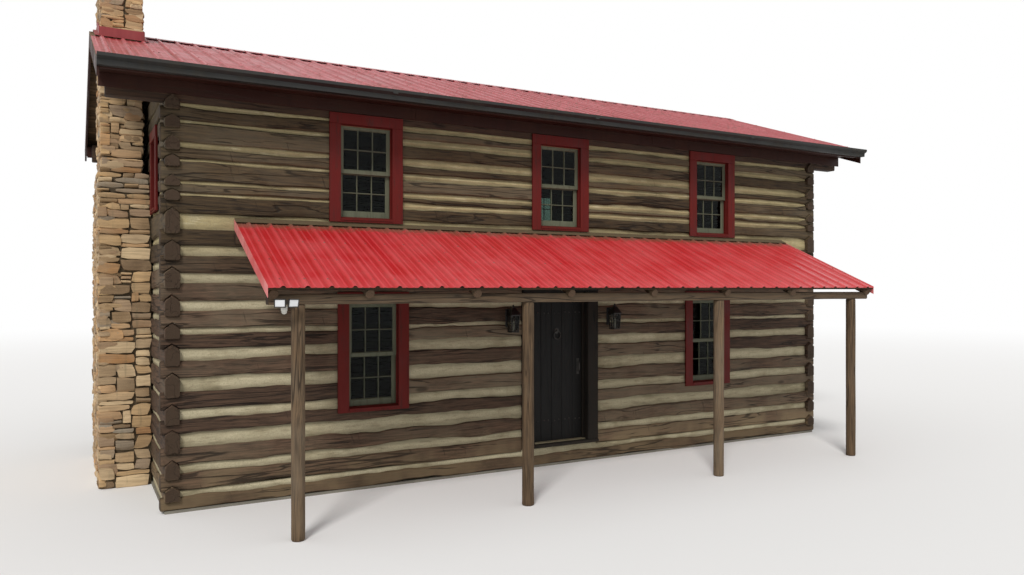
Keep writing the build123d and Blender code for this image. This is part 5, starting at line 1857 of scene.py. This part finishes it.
@dataclass
class Doorway(Assembly):
    """Heavy hewn door frame, its pintles, the plank leaf and its ironwork."""

    jamb: float = 0.172
    head: float = 0.152
    stop: float = 0.025
    sill: float = 0.04
    planks: int = 5
    strap: float = 0.045
    strap_in: float = 0.26
    strap_thick: float = 0.008
    reach: float = 0.62
    eye: float = 0.0125
    seed: int = 71

    def build(self) -> None:
        """Build the frame, the leaf and its ironwork."""
        (low, high), (leaf_low, leaf_high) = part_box("door_frame"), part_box("front_door")
        back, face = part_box("front_logs_long")[1].y, low.y + 0.02
        left, right, top, floor = low.x + self.jamb, high.x - self.jamb, high.z - self.head, low.z + self.sill
        shell, self.chance = self.shell, Chance(self.seed)
        shell.boards((((low.x, face, low.z), (left, back, top)), ((right, face, low.z), (high.x, back, top)),
            ((low.x, face - 0.006, top), (high.x, back, high.z)),
            ((low.x, low.y, low.z), (high.x, back, floor))), 0.008, self.chance)
        far = leaf_low.y - 0.005
        near = far - self.stop
        shell.boards((((left, near, floor), (left + self.stop, far, top)),
            ((right - self.stop, near, floor), (right, far, top)),
            ((left, near, top - self.stop), (right, far, top))), 0.003, self.chance)
        self.piece("hewn_door_frame", "jamb_timber", "dark_timber", "door_frame")
        x, y = self.frame["joints"][0]["pos_m"][:2]
        levels = (leaf_low.z + self.strap_in, leaf_high.z - self.strap_in - self.strap)
        self.pintles(x, y, back, levels)
        self.leaf(leaf_low, leaf_high)
        for level in levels:
            self.hinge(x, y, leaf_high.y, level)
        self.pull(leaf_high.x - 0.075, leaf_low.y, leaf_low.z + 1.0)
        self.knocker(leaf_low.y, leaf_low.z + 1.5)
        self.piece("forged_hardware", "wrought_iron", "wrought_iron", "door_hardware", body="door", angle=38.0)

    def pintles(self, x: float, y: float, back: float, levels: Iterable[float]) -> None:
        """Iron arms on the jamb's back with the pins that carry the straps.

        Args:
            x: X of the hinge.
            y: Y of the hinge.
            back: Y of the wall's inner face.
            levels: Undersides of the straps.
        """
        shell = self.shell
        for level in levels:
            base = level - 0.0005 - self.strap
            shell.board((x - 0.09, back, base), (x - 0.03, back + 0.006, base + 2 * self.strap), 0.0015)
            shell.board((x - 0.06, back + 0.001, base), (x + 0.006, y + 0.006, level - 0.0005), 0.002)
            shell.lathe(((0.0058, 0.0), (0.0058, self.strap + 0.023), (0.004, self.strap + 0.026)),
                at(x, y, level - 0.02), 20)
            for rise in (0.012, 0.078):
                shell.lathe(((0.007, -0.002), (0.007, 0.002), (0.004, 0.005)),
                    at(x - 0.075, back + 0.006, base + rise, -QUARTER), 6)
        self.piece("door_pintles", "wrought_iron", "wrought_iron")

    def leaf(self, low: Vector, high: Vector) -> None:
        """Join the leaf from planks and nail them to what lies behind.

        Args:
            low: Lowest corner of the leaf.
            high: Its highest corner.
        """
        chance, nails = self.chance, Shell()
        for left, right in spans(low.x, high.x, self.planks):
            self.shell.board((left + 0.0006, low.y, low.z), (right - 0.0006, high.y, high.z), 0.005, chance.random())
            for level, share in product((low.z + 0.2825, high.z - 0.2825), (0.3, 0.7)):
                nails.lathe(((0.01, -0.001), (0.01, 0.002), (0.006, 0.006), (0.001, 0.0075)),
                    at(blend(left, right, share), low.y, level + chance.uniform(-0.008, 0.008), QUARTER), 10)
        self.piece("door_planks", "door_timber", "door_planks", "front_door", body="door")
        self.piece("door_nails", "wrought_iron", "wrought_iron", made=nails, body="door", angle=40.0)

    def hinge(self, x: float, y: float, back: float, level: float) -> None:
        """Add a strap with its eye, its root and its bolts.

        Args:
            x: X of the hinge.
            y: Y of the hinge.
            back: Y of the leaf's inner face.
            level: Underside of the strap.
        """
        shell, eye, strap = self.shell, self.eye, self.strap
        far, middle, edge = back + self.strap_thick, level + strap / 2, back + self.strap_thick * 0.7
        shell.lathe(((0.0066, 0.0), (eye, 0.0), (eye, strap), (0.0066, strap)), at(x, y, level), tube=True)
        rings = []
        for share, half in ((0.0, None), (0.12, None), (0.3, None), (0.6, None), (0.84, 0.0125), (0.9, 0.021),
                (0.95, 0.0215), (0.985, 0.012), (1.0, 0.003)):
            half, along = half or blend(0.0225, 0.013, share), x + blend(eye, self.reach, share)
            rings.append([(along, depth, middle + rise) for depth, rise in (
                (back, -half), (edge, -half), (far, 0.002 - half), (far, half - 0.002), (edge, half), (back, half))])
        shell.rings(rings)
        root = ((x + 0.0085, y - 0.0105), (x + 0.0245, back), (x + 0.0525, back), (x + 0.0525, far),
            (x + 0.0085, y + 0.0085))
        shell.rings([[(*spot, level + rise) for spot in root] for rise in (0.0, strap)])
        for share in (0.12, 0.32, 0.52, 0.72, 0.91):
            shell.lathe(((0.009, -0.001), (0.009, 0.002), (0.006, 0.005), (0.001, 0.0062)),
                at(x + self.reach * share + 0.02, far, middle, -QUARTER), 12)

    def pull(self, x: float, face: float, level: float) -> None:
        """Add the pull: a chamfered plate, four screws and a bowed grip."""
        shell = self.shell
        shell.board((x - 0.022, face - 0.005, level - 0.11), (x + 0.022, face, level + 0.11), 0.0018)
        for dx, dz in product((-0.014, 0.014), (-0.1, 0.1)):
            shell.lathe(((0.004, -0.001), (0.004, 0.0008), (0.0015, 0.002)),
                at(x + dx, face - 0.005, level + dz, QUARTER), 10)
        rings, right = [], Vector((1, 0, 0))
        for index in range(17):
            angle = math.pi * index / 16
            flat = min(1.0, 1.25 * math.sin(angle))
            way = Vector((0, -math.cos(angle) * (1.0 if flat < 1.0 else 0.35), math.sin(angle) + 0.15)).normalized()
            side, swell = right.cross(way), 0.0062 + 0.0022 * math.sin(angle) ** 2
            centre = Vector((x, face - 0.003 - 0.038 * flat, level - 0.071 * math.cos(angle)))
            rings.append([centre + (right * math.cos(turn) + side * math.sin(turn)) * swell for turn in circle(12)])
        shell.rings(rings)

    def knocker(self, face: float, level: float) -> None:
        """Add the ring knocker: a round plate, a boss and a ring that hangs from it."""
        shell = self.shell
        shell.lathe(((0.038, -0.001), (0.04, 0.002), (0.038, 0.005), (0.03, 0.006), (0.018, 0.007),
            (0.013, 0.012), (0.012, 0.024), (0.008, 0.026)), at(0, face, level, QUARTER), 32)
        radius, wire, centre, rings = 0.054, 0.0065, Vector((0, face - 0.016, level - 0.058)), []
        for angle in circle(40):
            out = Vector((math.sin(angle), 0, math.cos(angle)))
            thick = wire * (1.0 + 0.25 * (1 - math.cos(angle)) / 2)
            rings.append([centre + out * (radius + thick * math.cos(turn)) + Vector((0, thick * math.sin(turn), 0))
                for turn in circle(12)])
        shell.rings(rings, tube=True)


@dataclass
class Lamps(Assembly):
    """Wall lanterns beside the door and the twin flood light on the porch beam."""

    foot: float = 0.054
    shoulder: float = 0.066
    eave: float = 0.075
    spread: float = 0.058
    head_radius: float = 0.05

    def lantern(self, glass: Shell, candle: Shell, solid: Solid) -> None:
        """Add one lantern.

        Args:
            glass: Shell of the panes.
            candle: Shell of the candle sleeves and their bulbs.
            solid: The plain lantern.
        """
        metal, low, high = self.shell, Vector(solid.low), Vector(solid.high)
        x, y, back, base, top = (low.x + high.x) / 2, low.y + self.eave, high.y, low.z, high.z
        foot, shoulder, eave, body = self.foot, self.shoulder, self.eave, blend(low.z, high.z, 0.62)
        for wide, near, far, rise, chamfer in ((0.045, back - 0.012, back, 0.06, 0.004),
                (0.036, back - 0.017, back - 0.01, 0.07, 0.003)):
            metal.board((x - wide, near, base + rise), (x + wide, far, top - rise), chamfer)
        metal.board((x - 0.01, y, top - 0.09), (x + 0.01, back, top - 0.07), 0.003)
        for block in (((base, foot), (base + 0.014, foot + 0.004)),
                ((base + 0.014, foot - 0.006), (base + 0.02, foot - 0.004)),
                ((body - 0.012, shoulder - 0.003), (body, shoulder)), ((body, eave), (body + 0.008, eave)),
                ((body + 0.008, eave - 0.006), (body + 0.055, 0.045)),
                ((body + 0.055, 0.045), (top - 0.04, 0.022))):
            metal.rings([square(x, y, reach, level) for level, reach in block])
        metal.lathe(((0.02, 0.0), (0.02, 0.006), (0.006, 0.01), (0.006, 0.016), (0.011, 0.022), (0.013, 0.029),
            (0.01, 0.036), (0.003, 0.041)), at(x, y, top - 0.042), 16)
        for sx, sy in product((-1, 1), (-1, 1)):
            metal.rings([[(x + sx * (reach - a), y + sy * (reach - b), level)
                 for a, b in ((0, 0), (0.011, 0), (0.011, 0.011), (0, 0.011))]
                for level, reach in ((base + 0.014, foot), (body - 0.006, shoulder - 0.003))])
        middle, reach = blend(base + 0.014, body, 0.5), (foot + shoulder) / 2 - 0.001
        for turn in range(4):
            metal.boards((((-reach, -reach, -0.003), (reach, -reach + 0.006, 0.003)),
                 ((-0.003, -reach, base + 0.016 - middle), (0.003, -reach + 0.006, body - 0.008 - middle))),
                0.001, 0.5, by(at(x, y, middle, turn * QUARTER, "Z")))
        candle.lathe(((0.011, 0.0), (0.011, 0.075), (0.006, 0.08), (0.014, 0.1), (0.011, 0.12), (0.002, 0.14)),
            at(x, y, base + 0.018), 14)
        glass.rings([square(x, y, foot - 0.006, base + 0.018), square(x, y, shoulder - 0.009, body - 0.012)])

    def head(self, lens: Shell, place: Place) -> None:
        """Add one rectangular lamp head that faces -Y in its own frame: shell, fins, bezel and lens.

        Args:
            lens: Shell of the glass.
            place: What places and tilts it.
        """
        housing = self.shell
        housing.rings([[place(-wide, depth, -tall), place(wide, depth, -tall), place(wide, depth, tall),
             place(-wide, depth, tall)]
            for depth, wide, tall in ((-0.022, 0.05, 0.039), (-0.012, 0.05, 0.039),
                                      (0.012, 0.04, 0.031), (0.026, 0.026, 0.021))])
        housing.boards((((fin * 0.009 - 0.0012, 0.004, -0.03), (fin * 0.009 + 0.0012, 0.034, 0.03))
            for fin in range(-3, 4)), 0.0005, 0.5, place)
        x, z, edge = 0.0525, 0.0415, 0.009
        housing.boards((((x0, -0.03, z0), (x1, -0.02, z1)) for x0, z0, x1, z1 in (
            (-x, -z, x, edge - z), (-x, z - edge, x, z), (-x, -z, edge - x, z), (x - edge, -z, x, z))),
            0.0015, 0.5, place)
        lens.board((edge - x, -0.027, edge - z), (x - edge, -0.0205, z - edge), 0.002, place=place)

    def flood(self) -> None:
        """Build the flood light: finned heads, knuckles, wall plate and sensor."""
        low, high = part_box("flood_light")
        x, face, level = (low.x + high.x) / 2, high.y, high.z - self.head_radius
        plate, stalk = face - 0.012, at(x, face - 0.03, low.z)
        housing, lens, sensor = self.shell, Shell(), Shell()
        housing.board((x - 0.07, plate, level - 0.019), (x + 0.07, face, level + 0.019), 0.004)
        for side in (-1, 1):
            hub = x + side * self.spread
            housing.lathe(((0.016, -0.004), (0.016, 0.006), (0.01, 0.01), (0.009, 0.052)),
                at(hub, plate, level, QUARTER), 18)
            self.head(lens, by(at(hub, low.y + 0.032, level, math.radians(12) * side, "Z")
                @ Matrix.Rotation(math.radians(14), 4, "X")))
        housing.lathe(((0.008, 0.05), (0.008, level - low.z - 0.012)), stalk, 14)
        housing.board((x - 0.008, face - 0.034, level - 0.02), (x + 0.008, face - 0.004, level - 0.006), 0.002)
        for profile in (((0.01, 0.086), (0.024, 0.082), (0.03, 0.07), (0.03, 0.038), (0.026, 0.03),
                (0.022, 0.027)), ((0.024, 0.034), (0.025, 0.024), (0.022, 0.012), (0.014, 0.004), (0.005, 0.001))):
            sensor.lathe(profile, stalk)
        self.piece("flood_light_housing", "lamp_housing", "light_housing", "flood_light")
        self.piece("flood_light_lenses", "lamp_lens", "light_housing", made=lens)
        self.piece("flood_light_sensor", "sensor_shell", "light_housing", made=sensor, angle=50.0)

    def build(self) -> None:
        """Build the lanterns and the flood light."""
        glass, candle = Shell(), Shell()
        for solid in self.solids("wall_lanterns"):
            self.lantern(glass, candle, solid)
        self.piece("lantern_metalwork", "lantern_metal", "lantern_metal", "wall_lanterns")
        self.piece("lantern_panes", "lantern_glass", "window_glass", made=glass)
        self.piece("lantern_candles", "candle_sleeve", "light_housing", made=candle, angle=40.0)
        self.flood()


@dataclass(frozen=True)
class Studio:
    """Pale floor, soft light and the camera at the photograph's place."""

    station: Point = (-5.85, -11.11, 2.402)
    bearing: float = 29.14
    lens: float = 28.0
    floor_tone: float = 0.8
    floor_radius: float = 160.0
    sky: float = 0.62
    sun: float = 2.1
    sun_way: Point = (0.52, 0.62, -0.8)
    sun_colour: Colour = (1.0, 0.975, 0.94)

    def add(self, name: str, data: bpy.types.ID, turn: Sequence[float] = (0.0, 0.0, 0.0)) -> bpy.types.Object:
        """Add an object of the stage."""
        made = bpy.data.objects.new(name, data)
        made.rotation_euler = turn
        bpy.context.scene.collection.objects.link(made)
        return made

    def build(self) -> None:
        """Set up the stage, the lamp, the world and the camera."""
        scene = bpy.context.scene
        scene.view_settings.view_transform = "Standard"
        view = bpy.data.cameras.new("photo_view")
        view.lens, view.sensor_width, view.sensor_fit, view.clip_end = self.lens, 36.0, "HORIZONTAL", 500.0
        scene.camera = self.add("photo_view", view, (QUARTER, 0.0, -math.radians(self.bearing)))
        scene.camera.location = self.station
        self.floor()
        lamp = bpy.data.lights.new("window_light", "SUN")
        lamp.energy, lamp.angle, lamp.color = self.sun, math.radians(14), self.sun_colour
        self.add("window_light", lamp, Vector(self.sun_way).to_track_quat("-Z", "Y").to_euler())
        self.world(scene)

    def floor(self) -> None:
        """Pale disc that brightens to white far from the cabin."""
        mesh = bpy.data.meshes.new("studio_floor")
        with editing(mesh) as work:
            bmesh.ops.create_circle(work, cap_ends=True, segments=96, radius=self.floor_radius)
        floor = self.add("studio_floor", mesh)
        to = Surface("studio_floor", None, 0.9, 0.0, 0.1)
        to.close((self.floor_tone,) * 3)
        distance = to.node("ShaderNodeVectorMath", {0: to.place}, operation="LENGTH").outputs[1]
        glow = to.out("ShaderNodeEmission", {"Color": WHITE, "Strength": 1.0})
        mix = to.out("ShaderNodeMixShader", {0: to.ramp(distance, 12.0, 45.0), 1: to.shader.outputs[0], 2: glow})
        to.feed(to.tree.nodes["Material Output"].inputs[0], mix)
        mesh.materials.append(to.material)

    def world(self, scene: bpy.types.Scene) -> None:
        """Even light, with white behind everything that the camera, metal or glass sees."""
        scene.world = bpy.data.worlds.new("studio")
        scene.world.use_nodes = True
        to = Graph(scene.world.node_tree)
        back, rays = to.tree.nodes["Background"], to.node("ShaderNodeLightPath").outputs
        seen = to.most(rays["Is Camera Ray"], to.most(rays["Is Glossy Ray"], rays["Is Transmission Ray"]))
        to.feed(back.inputs["Color"], WHITE)
        to.feed(back.inputs["Strength"], to.ramp(seen, 0.0, 1.0, self.sky, 1.0))


def main() -> None:
    """Build the cabin's looks around its frame."""
    logging.basicConfig(level=logging.INFO, format="%(message)s")
    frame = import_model()
    Studio().build()
    finishes = Finishes()
    for part in (LogWalls, Chimney, Windows, Roofs, Porch, Doorway, Lamps):
        part(frame, finishes).build()


if __name__ == "__main__":
    main()
